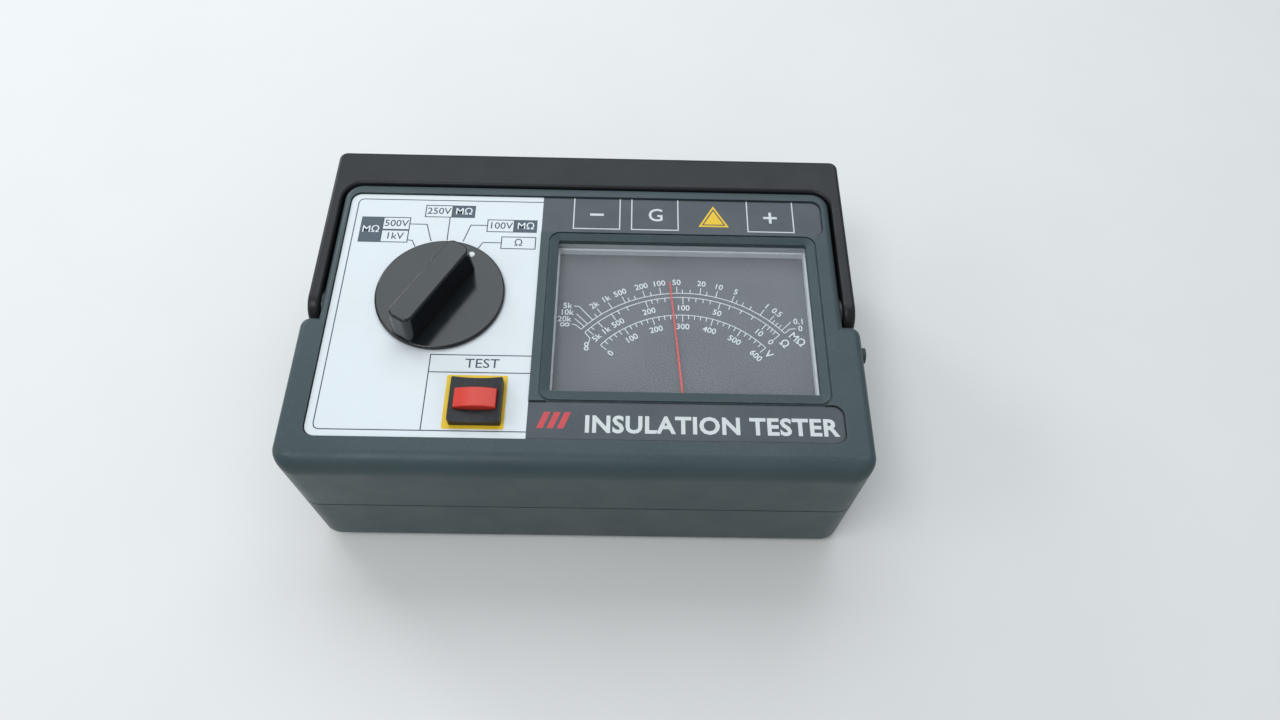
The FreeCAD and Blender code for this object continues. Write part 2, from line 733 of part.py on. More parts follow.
def make_knob_screw():
    body = new_body("knob_grub_screw")
    sketch = new_sketch(body, "grub", "X", -d.shaft_radius - 1.25)
    circle_outline(sketch, 0, grub_height, 1.48)
    grow(body, "Pad", sketch, 1.2)
    return turned_with_knob(body)


def make_switch_shaft():
    body = new_body("switch_shaft")
    posts(body, "Pad", "shaft_round", [(0, 0)], d.shaft_radius, (57, d.knob_top - 4.3))
    return turned_with_knob(body)


def make_switch_rotor():
    """Moulded disc with the sliding contact arm, on the lower end of the shaft."""
    body = new_body("switch_rotor")
    posts(body, "Pad", "rotor_disc", [(0, 0)], 12, (58, 61))
    pad_slab(body, "rotor_arm", (-2, 2), (0, 14), (58, 60), 0.5)
    posts(body, "Pocket", "rotor_bore", [(0, 0)], d.shaft_radius, (58, 61))
    return turned_with_knob(body)


def make_switch_body():
    """Can of the rotary switch, with its threaded bush through the panel."""
    body = new_body("switch_body")
    centre = [(d.knob_x, d.knob_y)]
    posts(body, "Pad", "switch_can", centre, 17, (55.5, panel_under))
    posts(body, "Pad", "switch_bush", centre, d.bush_radius, (panel_under - 1, nut_top))
    posts(body, "Pocket", "rotor_room", centre, 15, (57.5, 61.5))
    posts(body, "Pocket", "shaft_hole", centre, d.shaft_radius + 0.05, (56.5, nut_top))
    return body


def make_switch_nut():
    body = new_body("switch_nut")
    nut_z = (washer_top, nut_top)
    posts(body, "Pad", "nut_round", [(0, 0)], 7.2, nut_z)
    sides = new_sketch(body, "nut_flats", "Z", nut_z[1])
    circle_outline(sides, 0, 0, 12)
    across = 6.3
    corner = across / math.cos(math.pi / 6)
    turns = [k * math.pi / 3 for k in range(6)]
    hexagon = [(corner * math.cos(turn), corner * math.sin(turn)) for turn in turns]
    polygon_outline(sides, hexagon)
    grow(body, "Pocket", sides, 2)
    posts(body, "Pocket", "nut_bore", [(0, 0)], d.bush_radius + 0.02, nut_z)
    return put(body, d.knob_x, d.knob_y, 0)


def make_button_surround():
    """Square plinth with a hollow-ground top, and the guide well that the button slides in."""
    body = new_body("button_surround")
    half_x, half_y = d.surround_wide / 2, d.surround_deep / 2
    plinth_x, plinth_y = (-half_x, half_x), (-half_y, half_y)
    pad_slab(body, "plinth", plinth_x, plinth_y, (overlay_top, d.surround_top), 0.8)
    pad_slab(body, "well_wall", (-8.5, 8.5), (-8, 8), (60, overlay_top + 1), 0.8)
    dish = new_sketch(body, "dish", "Y", half_y)
    sweep = (d.surround_wide / 2).value
    depth = DIMENSIONS["surround_dish"]
    radius = (sweep ** 2 + depth ** 2) / (2 * depth)
    circle_outline(dish, 0, d.surround_top + (radius - depth), radius)
    grow(body, "Pocket", dish, d.surround_deep, reverse=True)
    well_x, well_y = d.button_wide / 2 + 0.15, d.button_deep / 2 + 0.15
    pocket_slab(body, "well", (-well_x, well_x), (-well_y, well_y), (62, d.surround_top), 0.3)
    posts(body, "Pocket", "stem_hole", [(0, 0)], 1.9, (60, 62))
    return put(body, d.button_x, d.button_y, 0)


def make_test_button():
    """Press cap with a crowned top, a skirt, and a stem that reaches the contact block."""
    body = new_body("test_button")
    half_x, half_y = d.button_wide / 2, d.button_deep / 2
    crown = 1.2
    radius = (half_x.value ** 2 + crown ** 2) / (2 * crown)
    cap = new_sketch(body, "cap_side", "Y", half_y)
    edge_z = size(d.button_crown).value - crown
    arc_centre = Vector(0, d.button_crown.value - radius, 0)
    reach = math.asin(half_x.value / radius)
    circle = Part.Circle(arc_centre, Vector(0, 0, 1), radius)
    cap.addGeometry(Part.ArcOfCircle(circle, math.pi / 2 - reach, math.pi / 2 + reach))
    left, right = -half_x.value, half_x.value
    corners = [(left, edge_z), (left, 70), (right, 70), (right, edge_z)]
    corners = [Vector(x, z, 0) for x, z in corners]
    for start, end in zip(corners, corners[1:]):
        cap.addGeometry(Part.LineSegment(start, end))
    for before, after in ((0, 1), (1, 2), (2, 3)):
        cap.addConstraint(Sketcher.Constraint("Coincident", before, 2, after, 1))
    cap.addConstraint(Sketcher.Constraint("Coincident", 3, 2, 0, 1))
    pin_to_origin(cap, "DistanceX", 1, 1, -half_x)
    pin_to_origin(cap, "DistanceX", 3, 2, half_x)
    pin_to_origin(cap, "DistanceY", 1, 1, d.button_crown - crown)
    pin_to_origin(cap, "DistanceY", 3, 2, d.button_crown - crown)
    pin_to_origin(cap, "DistanceX", 1, 2, -half_x)
    pin_to_origin(cap, "DistanceX", 3, 1, half_x)
    pin_to_origin(cap, "DistanceY", 1, 2, 70)
    pin_to_origin(cap, "DistanceY", 3, 1, 70)
    set_radius(cap, 0, radius)
    grow(body, "Pad", cap, d.button_deep)
    low = edge_z - 0.5
    round_edges(body, "cap_round", 0.5, lambda edge: edge.BoundBox.ZMin > low)
    posts(body, "Pad", "stem", [(0, 0)], 1.8, (57, 71))
    return put(body, d.button_x, d.button_y, 0)


def make_button_spring():
    """Return spring round the stem, drawn as a stack of touching coils cut to a tube."""
    coils = [rod(f"coil_{n}", d.button_x, d.button_y, 62 + n * 1.6, 3, 0.8) for n in range(5)]
    sleeve = rod("coil_sleeve", d.button_x, d.button_y, 62, 2.5, 8)
    bore = rod("coil_bore", d.button_x, d.button_y, 61, 2.1, 10)
    return cut("button_spring", join("coil_stack", sleeve, *coils), bore)


def make_button_switch():
    """Contact block clipped under the button, with the stem's blind bore."""
    block_x = (d.button_x - 8.5, d.button_x + 8.5)
    block_y = (d.button_y - 8, d.button_y + 8)
    housing = block("contact_block", block_x, block_y, (45, 60))
    bore = rod("contact_bore", d.button_x, d.button_y, 53, 1.95, 8)
    return cut("button_switch", housing, bore)


# ---------------------------------------------------------------- meter
def make_window_gasket():
    z = (panel_under - 0.5, panel_under)
    outer = slab("gasket_outer", (d.meter_left, d.meter_right), (-46, d.meter_back + 1), z, 2)
    inner = slab("gasket_inner", (d.window_left - 0.5, d.window_right + 0.5),
                 (d.window_front - 0.5, d.window_back + 0.5), z, 1)
    return cut("window_gasket", outer, inner)


meter_inner_x = (d.meter_left + 1.8, d.meter_right - 1.8)
meter_inner_y = (d.meter_front + 1.8, d.meter_back - 1.8)


def make_meter_cover():
    """Clear moulded cover: a flat face and straight side walls, with a broken edge."""
    body = new_body("meter_cover")
    x, y = (d.meter_left, d.meter_right), (d.meter_front, d.meter_back)
    top = panel_under - 0.5
    pad_slab(body, "cover_block", x, y, (d.meter_split, top), 2.8)
    round_edges(body, "cover_bevel_edge", d.cover_bevel, edge_at_height(top), "Chamfer")
    pocket_slab(body, "cover_hollow", meter_inner_x, meter_inner_y, (d.meter_split, top - 1.5), 1)
    return body


def make_meter_housing():
    """Open tub with a lug at each corner and four pads that the scale sits on."""
    body = new_body("meter_housing")
    x, y = (d.meter_left, d.meter_right), (d.meter_front, d.meter_back)
    pad_slab(body, "housing_block", x, y, (d.meter_bottom, d.meter_split), 2.8)
    hollow_z = (d.meter_bottom + 2, d.meter_split)
    pocket_slab(body, "housing_hollow", meter_inner_x, meter_inner_y, hollow_z, 1)
    lugs = [(px + (2 if px < 0 else -1.5), py) for px, py in meter_post_places]
    posts(body, "Pad", "lugs", lugs, 4, (d.meter_split - 2, d.meter_split))
    posts(body, "Pocket", "lug_holes", meter_post_places, 1.3, (d.meter_split - 2, d.meter_split))
    return body


def make_meter_screws():
    screws = []
    for number, (x, y) in enumerate(meter_post_places, start=1):
        name = f"meter_screw_{number}"
        head = rod(name + "_head", x, y, d.meter_split - 3.6, 2.4, 1.6)
        shank = rod(name + "_shank", x, y, d.meter_split - 2, 0.98, 6.5)
        screws.append(join(name, head, shank))
    return group("meter_screws", *screws)


def make_scale_plate():
    """Thin printed plate, cut away round the pivot, on four pillars."""
    body = new_body("scale_plate")
    x = (d.meter_left + 1.9, d.meter_right - 1.9)
    y = (d.needle_y + 4.6, d.meter_back - 1.9)
    plate_z = (d.plate_top - 0.8, d.plate_top)
    pad_slab(body, "plate_blank", x, y, plate_z, 1)
    wings_y = (d.meter_front + 2.4, d.needle_y + 16)
    pad_slab(body, "plate_left", (x[0], d.needle_x - 15), wings_y, plate_z, 1)
    pad_slab(body, "plate_right", (d.needle_x + 15, x[1]), wings_y, plate_z, 1)
    posts(body, "Pocket", "plate_holes", scale_screw_places, 1.3, (d.plate_top - 0.8, d.plate_top))
    return body


def make_scale_posts():
    """Four turned pillars between the housing floor and the scale plate."""
    floor = d.meter_bottom + 2
    tall = d.plate_top - 0.8 - floor
    pillars = []
    for number, (x, y) in enumerate(scale_pillar_places, start=1):
        pillars.append(ring(f"pillar_{number}", x, y, floor, 2.6, 1.0, tall))
    return group("scale_pillars", *pillars)


def make_scale_screws():
    screws = []
    for number, (x, y) in enumerate(scale_screw_places, start=1):
        name = f"scale_screw_{number}"
        head = rod(name + "_head", x, y, d.plate_top, 2.2, 1.0)
        shank = rod(name + "_shank", x, y, d.plate_top - 6, 0.98, 6)
        screws.append(join(name, head, shank))
    return group("scale_screws", *screws)


def make_pointer_stops():
    """Two wire stops near the pivot, just outside the ends of the scale."""
    stops = []
    reach = 11
    for side, degrees in (("left", 144.3), ("right", 35.7)):
        x = d.needle_x + reach * math.cos(math.radians(degrees))
        y = d.needle_y + reach * math.sin(math.radians(degrees))
        stops.append(rod(f"{side}_stop", x, y, d.plate_top, 0.5, 2.0))
    return group("pointer_stops", *stops)


def make_magnet():
    """Ring magnet and soft-iron return ring in one, split by the two coil gaps."""
    return ring("ring_magnet", d.needle_x, d.needle_y, 46, 12.2, 9.4, 14)


def make_core():
    return ring("iron_core", d.needle_x, d.needle_y, 47, 6.6, 1.6, 12)


def make_core_supports():
    """Two brass strips that hold the core inside the magnet, clear of the coil's sweep."""
    strip_x = (d.needle_x - 12, d.needle_x + 12)
    strip = block("support_strip", strip_x, (d.needle_y - 1.5, d.needle_y + 1.5), (50, 56))
    gap = ring("support_gap", d.needle_x, d.needle_y, 49, 9.4, 6.6, 8)
    supports = doc.addObject("Part::Common", "core_supports")
    supports.Base = strip
    supports.Tool = gap
    return supports


def make_magnet_seat():
    """Cast seat under the magnet, with the bottom jewel in its middle."""
    floor = d.meter_bottom + 2
    foot_x, foot_y = (d.needle_x - 12, d.needle_x + 12), (d.needle_y - 4, d.needle_y + 4)
    foot = block("seat_foot", foot_x, foot_y, (floor, 44))
    seat = ring("seat_ring", d.needle_x, d.needle_y, floor, 12.2, 9.4, 4)
    hole = rod("seat_hole", d.needle_x, d.needle_y, floor - 1, 1.5, 4)
    return cut("magnet_seat", join("seat_blank", foot, seat), hole)


def make_top_bridge():
    """Bar over the magnet with the top jewel, on two pillars outside the coil's sweep."""
    bar_x, bar_y = (d.needle_x - 12, d.needle_x + 12), (d.needle_y - 3, d.needle_y + 3)
    bar = block("bridge_bar", bar_x, bar_y, (64.2, 65.4))
    left = rod("bridge_left", d.needle_x - 10.8, d.needle_y, 60, 1.2, 4.4)
    right = rod("bridge_right", d.needle_x + 10.8, d.needle_y, 60, 1.2, 4.4)
    hole = rod("bridge_hole", d.needle_x, d.needle_y, 63, 1.2, 4)
    return cut("top_bridge", join("bridge_blank", bar, left, right), hole)


def make_jewels():
    lower = ring("lower_jewel", d.needle_x, d.needle_y, 42.5, 1.5, 0.45, 2)
    upper = ring("upper_jewel", d.needle_x, d.needle_y, 64.2, 1.1, 0.45, 1.2)
    return group("jewel_bearings", lower, upper)


def turned_with_needle(item):
    """Place a piece that is modelled on the needle's axis, pointing along +Y."""
    put(item, d.needle_x, d.needle_y, 0)
    item.Placement.Rotation = FreeCAD.Rotation(Vector(0, 0, 1), DIMENSIONS["needle_rest"])
    return item


def make_pointer():
    """Flat tapered needle with a hub and a short counterweighted tail."""
    body = new_body("meter_pointer")
    z = (d.plate_top + 0.9, d.plate_top + 1.25)
    sketch = new_sketch(body, "needle_outline", "Z", z[0])
    tail = [(-0.5, 0), (-0.5, -7), (0.5, -7), (0.5, 0)]
    outline = [*tail, (0.3, d.needle_reach), (-0.3, d.needle_reach)]
    polygon_outline(sketch, outline)
    grow(body, "Pad", sketch, z[1] - z[0])
    posts(body, "Pad", "needle_hub", [(0, 0)], 2.0, (d.plate_top + 0.5, d.plate_top + 1.3))
    posts(body, "Pad", "needle_weight", [(0, -8)], 1.4, (d.plate_top + 0.5, d.plate_top + 1.7))
    posts(body, "Pocket", "needle_bore", [(0, 0)], 0.4, (d.plate_top, d.plate_top + 1.4))
    return turned_with_needle(body)


def make_pointer_staff():
    body = new_body("pointer_staff")
    posts(body, "Pad", "staff_rod", [(0, 0)], 0.4, (43, d.plate_top + 1.6))
    return turned_with_needle(body)


def make_moving_coil():
    """Wound frame that swings in the gap between core and magnet."""
    body = new_body("moving_coil")
    side = new_sketch(body, "coil_frame", "X", -2)
    rounded_outline(side, (-8.9, 8.9), (45.2, 61.2), 1)
    rounded_outline(side, (-7.1, 7.1), (46.6, 59.8), 0.5)
    grow(body, "Pad", side, 4)
    posts(body, "Pad", "coil_collar", [(0, 0)], 1.6, (60.5, 62.5))
    posts(body, "Pocket", "coil_bore", [(0, 0)], 0.4, (44, 63))
    return turned_with_needle(body)


# ---------------------------------------------------------------- terminals
def make_terminal_plate():
    """Moulded plate let into the back wall, one stepped hole for each socket."""
    body = new_body("terminal_plate")
    face = new_sketch(body, "plate_face", "Y", half_depth)
    rounded_outline(face, (-6.9, 88.9), (d.socket_height - 5.5, d.socket_height + 5.5), 1.4)
    grow(body, "Pad", face, d.wall_thick)
    holes = new_sketch(body, "socket_holes", "Y", half_depth)
    for x in socket_places:
        circle_outline(holes, x, d.socket_height, 4.8)
    grow(body, "Pocket", holes, d.wall_thick, reverse=True)
    return body


def make_socket_bushes():
    """Insulating bush of each socket: wide shrouded mouth, then a sleeve round the contact."""
    bushes = []
    for number, x in enumerate(socket_places, start=1):
        name = f"bush_{number}"
        outside = rod(name + "_outside", x, half_depth - 20, d.socket_height, 4.78, 20, "Y")
        mouth = rod(name + "_mouth", x, half_depth - 6, d.socket_height, 4.0, 7, "Y")
        sleeve = rod(name + "_sleeve", x, half_depth - 21, d.socket_height, 2.85, 16, "Y")
        bushes.append(cut(name, outside, mouth, sleeve))
    return group("socket_bushes", *bushes)


def make_socket_contacts():
    contacts = []
    for number, x in enumerate(socket_places, start=1):
        name = f"contact_{number}"
        place = (x, half_depth - 20, d.socket_height)
        tube = ring(name + "_tube", *place, 2.84, d.socket_bore, 13.5, "Y")
        end = rod(name + "_end", x, half_depth - 22, d.socket_height, 2.84, 2, "Y")
        contacts.append(join(name, tube, end))
    return group("socket_contacts", *contacts)


def make_socket_nuts():
    nuts = []
    for number, x in enumerate(socket_places, start=1):
        place = (x, half_depth - 5.5, d.socket_height)
        nuts.append(ring(f"socket_nut_{number}", *place, 6.2, 4.8, 2.5, "Y"))
    return group("socket_nuts", *nuts)


def make_socket_leads():
    """Stiff insulated wires from the contacts down to the circuit board."""
    leads = []
    bend = 6
    for number, x in enumerate(socket_places, start=1):
        name = f"lead_{number}"
        start_y = half_depth - 22
        run = rod(name + "_run", x, start_y - 2, d.socket_height, 0.9, 2, "Y")
        turn = doc.addObject("Part::Torus", name + "_turn")
        bind(turn, "Radius1", bend)
        bind(turn, "Radius2", 0.9)
        turn.Angle3 = 90
        axes = (Vector(0, -1, 0), Vector(0, 0, 1), Vector(-1, 0, 0))
        turn.Placement.Rotation = FreeCAD.Rotation(*axes, "XYZ")
        put(turn, x, start_y - 2, d.socket_height - bend)
        fall = d.socket_height - bend - board_top
        drop = rod(name + "_drop", x, start_y - 2 - bend, board_top, 0.9, fall)
        leads.append(join(name, run, turn, drop))
    return group("socket_leads", *leads)


# ---------------------------------------------------------------- electronics and battery
def make_board():
    body = new_body("main_board")
    z = (d.board_bottom, board_top)
    pad_slab(body, "board_blank", (-87, 87), (-62, 50), z, 2)
    posts(body, "Pocket", "board_holes", board_post_places, 1.6, z)
    return body


def make_board_screws():
    screws = []
    for number, (x, y) in enumerate(board_post_places, start=1):
        name = f"board_screw_{number}"
        head = rod(name + "_head", x, y, board_top, 3, 1.8)
        shank = rod(name + "_shank", x, y, board_top - 8, 1.18, 8)
        screws.append(join(name, head, shank))
    return group("board_screws", *screws)


def on_board(name, x, y, tall):
    """A rectangular component standing on the board."""
    return block(name, x, y, (board_top, board_top + tall))


def make_transformer_core():
    outside = on_board("core_outside", (-80, -52), (8, 36), 24)
    windows = [
        block("core_window_low", (-75, -69.5), (7, 37), (board_top + 5, board_top + 19)),
        block("core_window_high", (-62.5, -57), (7, 37), (board_top + 5, board_top + 19)),
    ]
    return cut("transformer_core", outside, *windows)


def make_transformer_winding():
    z = (board_top + 5.1, board_top + 18.9)
    left = block("winding_left", (-74.9, -69.6), (2, 42), z)
    right = block("winding_right", (-62.4, -57.1), (2, 42), z)
    front = block("winding_front", (-74.9, -57.1), (2, 7.9), z)
    back = block("winding_back", (-74.9, -57.1), (36.1, 42), z)
    return join("transformer_winding", left, right, front, back)


def make_capacitors():
    cans = []
    for number, (x, y) in enumerate([(-38, 34), (-22, 38), (-22, 22)], start=1):
        name = f"capacitor_{number}"
        body = new_body(name)
        posts(body, "Pad", name + "_can", [(x, y)], 6.3, (board_top, board_top + 22))
        round_edges(body, name + "_round", 1, edge_at_height(board_top + 22))
        cans.append(body)
    return group("capacitors", *cans)


def make_relay():
    return on_board("relay", (-80, -60), (-52, -38), 11)


def make_chips():
    places = [(-12, -46), (14, -46), (40, 34), (62, 34)]
    chips = []
    for number, (x, y) in enumerate(places, start=1):
        chips.append(on_board(f"chip_{number}", (x, x + 18), (y, y + 7), 4))
    return group("integrated_circuits", *chips)


def make_trimmers():
    places = [(52, -50), (62, -50), (72, -50)]
    trimmers = []
    for number, (x, y) in enumerate(places, start=1):
        name = f"trimmer_{number}"
        screw_seat = rod(name + "_seat", x + 3.5, y + 3.5, board_top + 5.4, 1.6, 2)
        trimmers.append(cut(name, on_board(name + "_box", (x, x + 7), (y, y + 7), 6), screw_seat))
    return group("trimmers", *trimmers)


def make_resistors():
    items = []
    for number in range(8):
        x = 18 + number * 8
        name = f"resistor_{number + 1}"
        barrel = rod(name + "_barrel", x, 4, board_top + 1.5, 1.2, 7, "Y")
        lead = rod(name + "_lead", x, 1, board_top + 1.5, 0.35, 13, "Y")
        feet = [rod(f"{name}_foot_{y}", x, y, board_top, 0.35, 1.5) for y in (1, 14)]
        items.append(join(name, barrel, lead, *feet))
    return group("resistors", *items)


def make_fuse():
    """Glass fuse with the two spring clips that hold it off the board."""
    pieces = [rod("fuse", -10, 4, board_top + 4, 2.5, 20, "X")]
    for number, x in enumerate((-9, 5), start=1):
        name = f"fuse_clip_{number}"
        outer = on_board(name + "_outer", (x, x + 4), (0.8, 7.2), 6.5)
        hole = rod(name + "_hole", x - 1, 4, board_top + 4, 2.52, 6, "X")
        mouth = block(name + "_mouth", (x - 1, x + 5), (2.4, 5.6), (board_top + 4, board_top + 8))
        pieces.append(cut(name, outer, hole, mouth))
    return group("fuse_and_clips", *pieces)


def make_battery_tray():
    """Box moulding that closes the battery well from above."""
    outer = block("tray_outer", (-99.5, -3.5), (-31.5, 28.5), (floor_top, 22))
    inner = block("tray_inner", (-98.3, -4.7), (-30.3, 27.3), (floor_top - 1, 20.8))
    ribs = [
        block(f"tray_rib_{n}", (rib_x - 0.4, rib_x + 0.4), (-30.3, 27.3), (17, 20.8))
        for n, rib_x in enumerate([cell_x(n) + d.cell_pitch / 2 for n in range(5)])
    ]
    return join("battery_tray", cut("tray_shell", outer, inner), *ribs)


def cell_x(number):
    """Centre line of one of the six cells, which lie side by side."""
    return -51.5 + d.cell_pitch * (number - 2.5)


def make_cells():
    cells = []
    height = floor_top + 0.3 + d.cell_radius
    for number in range(6):
        name = f"cell_{number + 1}"
        x, can_length = cell_x(number), d.cell_length - 1
        can = rod(name + "_can", x, -24.5, height, d.cell_radius, can_length, "Y")
        nub = rod(name + "_nub", x, -24.5 + can_length, height, 2.7, 1.2, "Y")
        cells.append(join(name, can, nub))
    return group("battery_cells", *cells)


def make_battery_contacts():
    """A flat plate at one end of each cell and a coil spring on a plate at the other."""
    pieces = []
    height = floor_top + 0.3 + d.cell_radius
    for number in range(6):
        x = cell_x(number)
        limits = (x - 5, x + 5)
        z = (height - 5, height + 5)
        pieces.append(block(f"flat_contact_{number + 1}", limits, (25.8, 26.2), z))
        name = f"spring_contact_{number + 1}"
        plate = block(name + "_plate", limits, (-30.3, -29.9), z)
        coils = []
        for turn in range(5):
            outer, inner = 3.6 - 0.35 * turn, 2.2 - 0.25 * turn
            y = -29.9 + turn * 1.08
            coils.append(ring(f"{name}_coil_{turn}", x, y, height, outer, inner, 1.08, "Y"))
        pieces.append(join(name, plate, *coils))
    return group("battery_contacts", *pieces)


def make_battery_cover():
    body = new_body("battery_cover")
    flat_x, flat_y = (flange_x[0] + 0.2, flange_x[1] - 0.2), (flange_y[0] + 0.2, flange_y[1] - 0.2)
    flange_z = (d.case_bottom, d.case_bottom + 1.1)
    pad_slab(body, "cover_flange", flat_x, flat_y, flange_z, 2.8)
    x, y = (battery_x[0] + 0.2, battery_x[1] - 0.2), (battery_y[0] + 0.2, battery_y[1] - 0.2)
    pad_slab(body, "cover_plug", x, y, (d.case_bottom, floor_top - 0.4), 1.8)
    for number in range(6):
        low = -22 + number * 2.4
        groove_z = (d.case_bottom, d.case_bottom + 0.6)
        pocket_slab(body, f"grip_{number}", (-62, -41), (low, low + 1), groove_z, 0.3)
    posts(body, "Pocket", "cover_holes", cover_screw_places, 1.4, flange_z)
    return body


def make_cover_screws():
    screws = []
    for number, (x, y) in enumerate(cover_screw_places, start=1):
        name = f"cover_screw_{number}"
        head = rod(name + "_head", x, y, d.case_bottom - 1.1, 2.4, 1.1)
        shank = rod(name + "_shank", x, y, d.case_bottom, 1.18, 6)
        slot_z = (d.case_bottom - 1.2, d.case_bottom - 0.5)
        slot = block(name + "_slot", (x - 4, x + 4), (y - 0.3, y + 0.3), slot_z)
        screws.append(cut(name, join(name + "_blank", head, shank), slot))
    return group("cover_screws", *screws)


def make_rating_plate():
    plate_z = (d.case_bottom, d.case_bottom + 0.4)
    return slab("rating_plate", (25.1, 79.9), (-17.9, 13.9), plate_z, 1.4)


def make_switch_washer():
    bore = d.bush_radius + 0.02
    return ring("switch_washer", d.knob_x, d.knob_y, recess_floor, 7.5, bore, d.washer_thick)


# ---------------------------------------------------------------- assembly and export
NODES = {
    "upper_case": make_upper_case,
    "lower_case": make_lower_case,
    "case_seal": make_case_seal,
    "case_screws": make_case_screws,
    "rubber_feet": make_feet,
    "strap_stud": make_strap_stud,
    "carrying_handle": make_handle,
    "handle_pins": make_handle_pins,
    "handle_washers": make_handle_washers,
    "panel_overlay": make_overlay,
    "range_knob": make_knob,
    "knob_dot": make_knob_dot,
    "knob_grub_screw": make_knob_screw,
    "switch_shaft": make_switch_shaft,
    "switch_rotor": make_switch_rotor,
    "switch_body": make_switch_body,
    "switch_washer": make_switch_washer,
    "switch_nut": make_switch_nut,
    "button_surround": make_button_surround,
    "test_button": make_test_button,
    "button_spring": make_button_spring,
    "button_switch": make_button_switch,
    "window_gasket": make_window_gasket,
    "meter_cover": make_meter_cover,
    "meter_housing": make_meter_housing,
    "meter_screws": make_meter_screws,
    "scale_plate": make_scale_plate,
    "scale_pillars": make_scale_posts,
    "scale_screws": make_scale_screws,
    "pointer_stops": make_pointer_stops,
    "ring_magnet": make_magnet,
    "magnet_seat": make_magnet_seat,
    "iron_core": make_core,
    "core_supports": make_core_supports,
    "top_bridge": make_top_bridge,
    "jewel_bearings": make_jewels,
    "meter_pointer": make_pointer,
    "pointer_staff": make_pointer_staff,
    "moving_coil": make_moving_coil,
    "terminal_plate": make_terminal_plate,
    "socket_bushes": make_socket_bushes,
    "socket_contacts": make_socket_contacts,
    "socket_nuts": make_socket_nuts,
    "socket_leads": make_socket_leads,
    "main_board": make_board,
    "board_screws": make_board_screws,
    "transformer_core": make_transformer_core,
    "transformer_winding": make_transformer_winding,
    "capacitors": make_capacitors,
    "relay": make_relay,
    "integrated_circuits": make_chips,
    "trimmers": make_trimmers,
    "resistors": make_resistors,
    "fuse_and_clips": make_fuse,
    "battery_tray": make_battery_tray,
    "battery_cells": make_cells,
    "battery_contacts": make_battery_contacts,
    "battery_cover": make_battery_cover,
    "cover_screws": make_cover_screws,
    "rating_plate": make_rating_plate,
}


def build_nodes():
    """Make every sub-part and label it with the name of its node."""
    built = {}
    for label, maker in NODES.items():
        built[label] = maker()
        built[label].Label = label
    doc.recompute()
    return built


def check_nodes(built):
    """Stop if any object failed or any sub-part has no sound solid."""
    for item in doc.Objects:
        if "Invalid" in item.State or "Error" in item.State:
            raise ValueError(f"{item.Label} failed: {item.State}")
    for label, item in built.items():
        shape = item.Shape
        if shape.isNull() or not shape.isValid() or not shape.Solids:
            raise ValueError(f"{label} has no valid solid")


def export_nodes(built):
    os.makedirs("parts", exist_ok=True)
    for label, item in built.items():
        item.Shape.exportStep(f"parts/{label}.step")


sub_parts = build_nodes()
check_nodes(sub_parts)
export_nodes(sub_parts)
solid_count = sum(len(item.Shape.Solids) for item in sub_parts.values())
print(len(sub_parts), "nodes,", solid_count, "solids")
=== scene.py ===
"""Looks of an analogue insulation resistance tester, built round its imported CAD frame.

Order: places, materials, flat printing, panel printing, dial and window, stage and camera.
Lengths are given in millimetres and turned into metres by MM.
"""

import json
from math import cos, pi, radians, sin

import bmesh
import bpy
from mathutils import Matrix, Vector


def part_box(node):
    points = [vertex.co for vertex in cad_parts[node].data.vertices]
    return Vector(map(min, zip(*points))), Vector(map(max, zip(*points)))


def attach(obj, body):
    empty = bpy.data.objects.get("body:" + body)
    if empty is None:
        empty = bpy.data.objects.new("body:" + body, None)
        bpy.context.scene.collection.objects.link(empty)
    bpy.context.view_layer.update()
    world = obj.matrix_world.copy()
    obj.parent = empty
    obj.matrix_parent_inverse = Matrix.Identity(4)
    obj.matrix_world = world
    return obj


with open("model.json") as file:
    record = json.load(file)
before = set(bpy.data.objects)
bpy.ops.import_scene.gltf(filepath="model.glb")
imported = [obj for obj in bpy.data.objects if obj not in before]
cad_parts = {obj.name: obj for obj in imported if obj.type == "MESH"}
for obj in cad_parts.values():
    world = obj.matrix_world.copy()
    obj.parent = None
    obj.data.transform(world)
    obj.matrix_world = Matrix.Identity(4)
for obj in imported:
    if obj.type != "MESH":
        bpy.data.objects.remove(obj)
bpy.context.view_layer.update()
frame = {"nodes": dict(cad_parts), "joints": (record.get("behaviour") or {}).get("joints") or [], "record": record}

MM = 0.001
record = frame["record"]
joints = {joint["name"]: joint for joint in frame["joints"]}


# ---------------------------------------------------------------- places, in mm

def box_mm(node):
    """Lowest and highest corner of a CAD node, in mm."""
    low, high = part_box(node)
    return low / MM, high / MM


overlay_low, overlay_high = box_mm("panel_overlay")
film_top = overlay_high.z
dial_top = box_mm("scale_plate")[1].z
needle_x, needle_y = [value / MM for value in joints["pointer_sweep"]["pos_m"][:2]]
knob_x, knob_y = [value / MM for value in joints["range_turn"]["pos_m"][:2]]
surround_low, surround_high = box_mm("button_surround")
button_x, button_y = ((surround_low + surround_high) / 2)[:2]
# the raised land round the meter, where the overlay is cut away
land_left = -18.6
land_front = -46.5
land_back = 32.6


# ---------------------------------------------------------------- materials

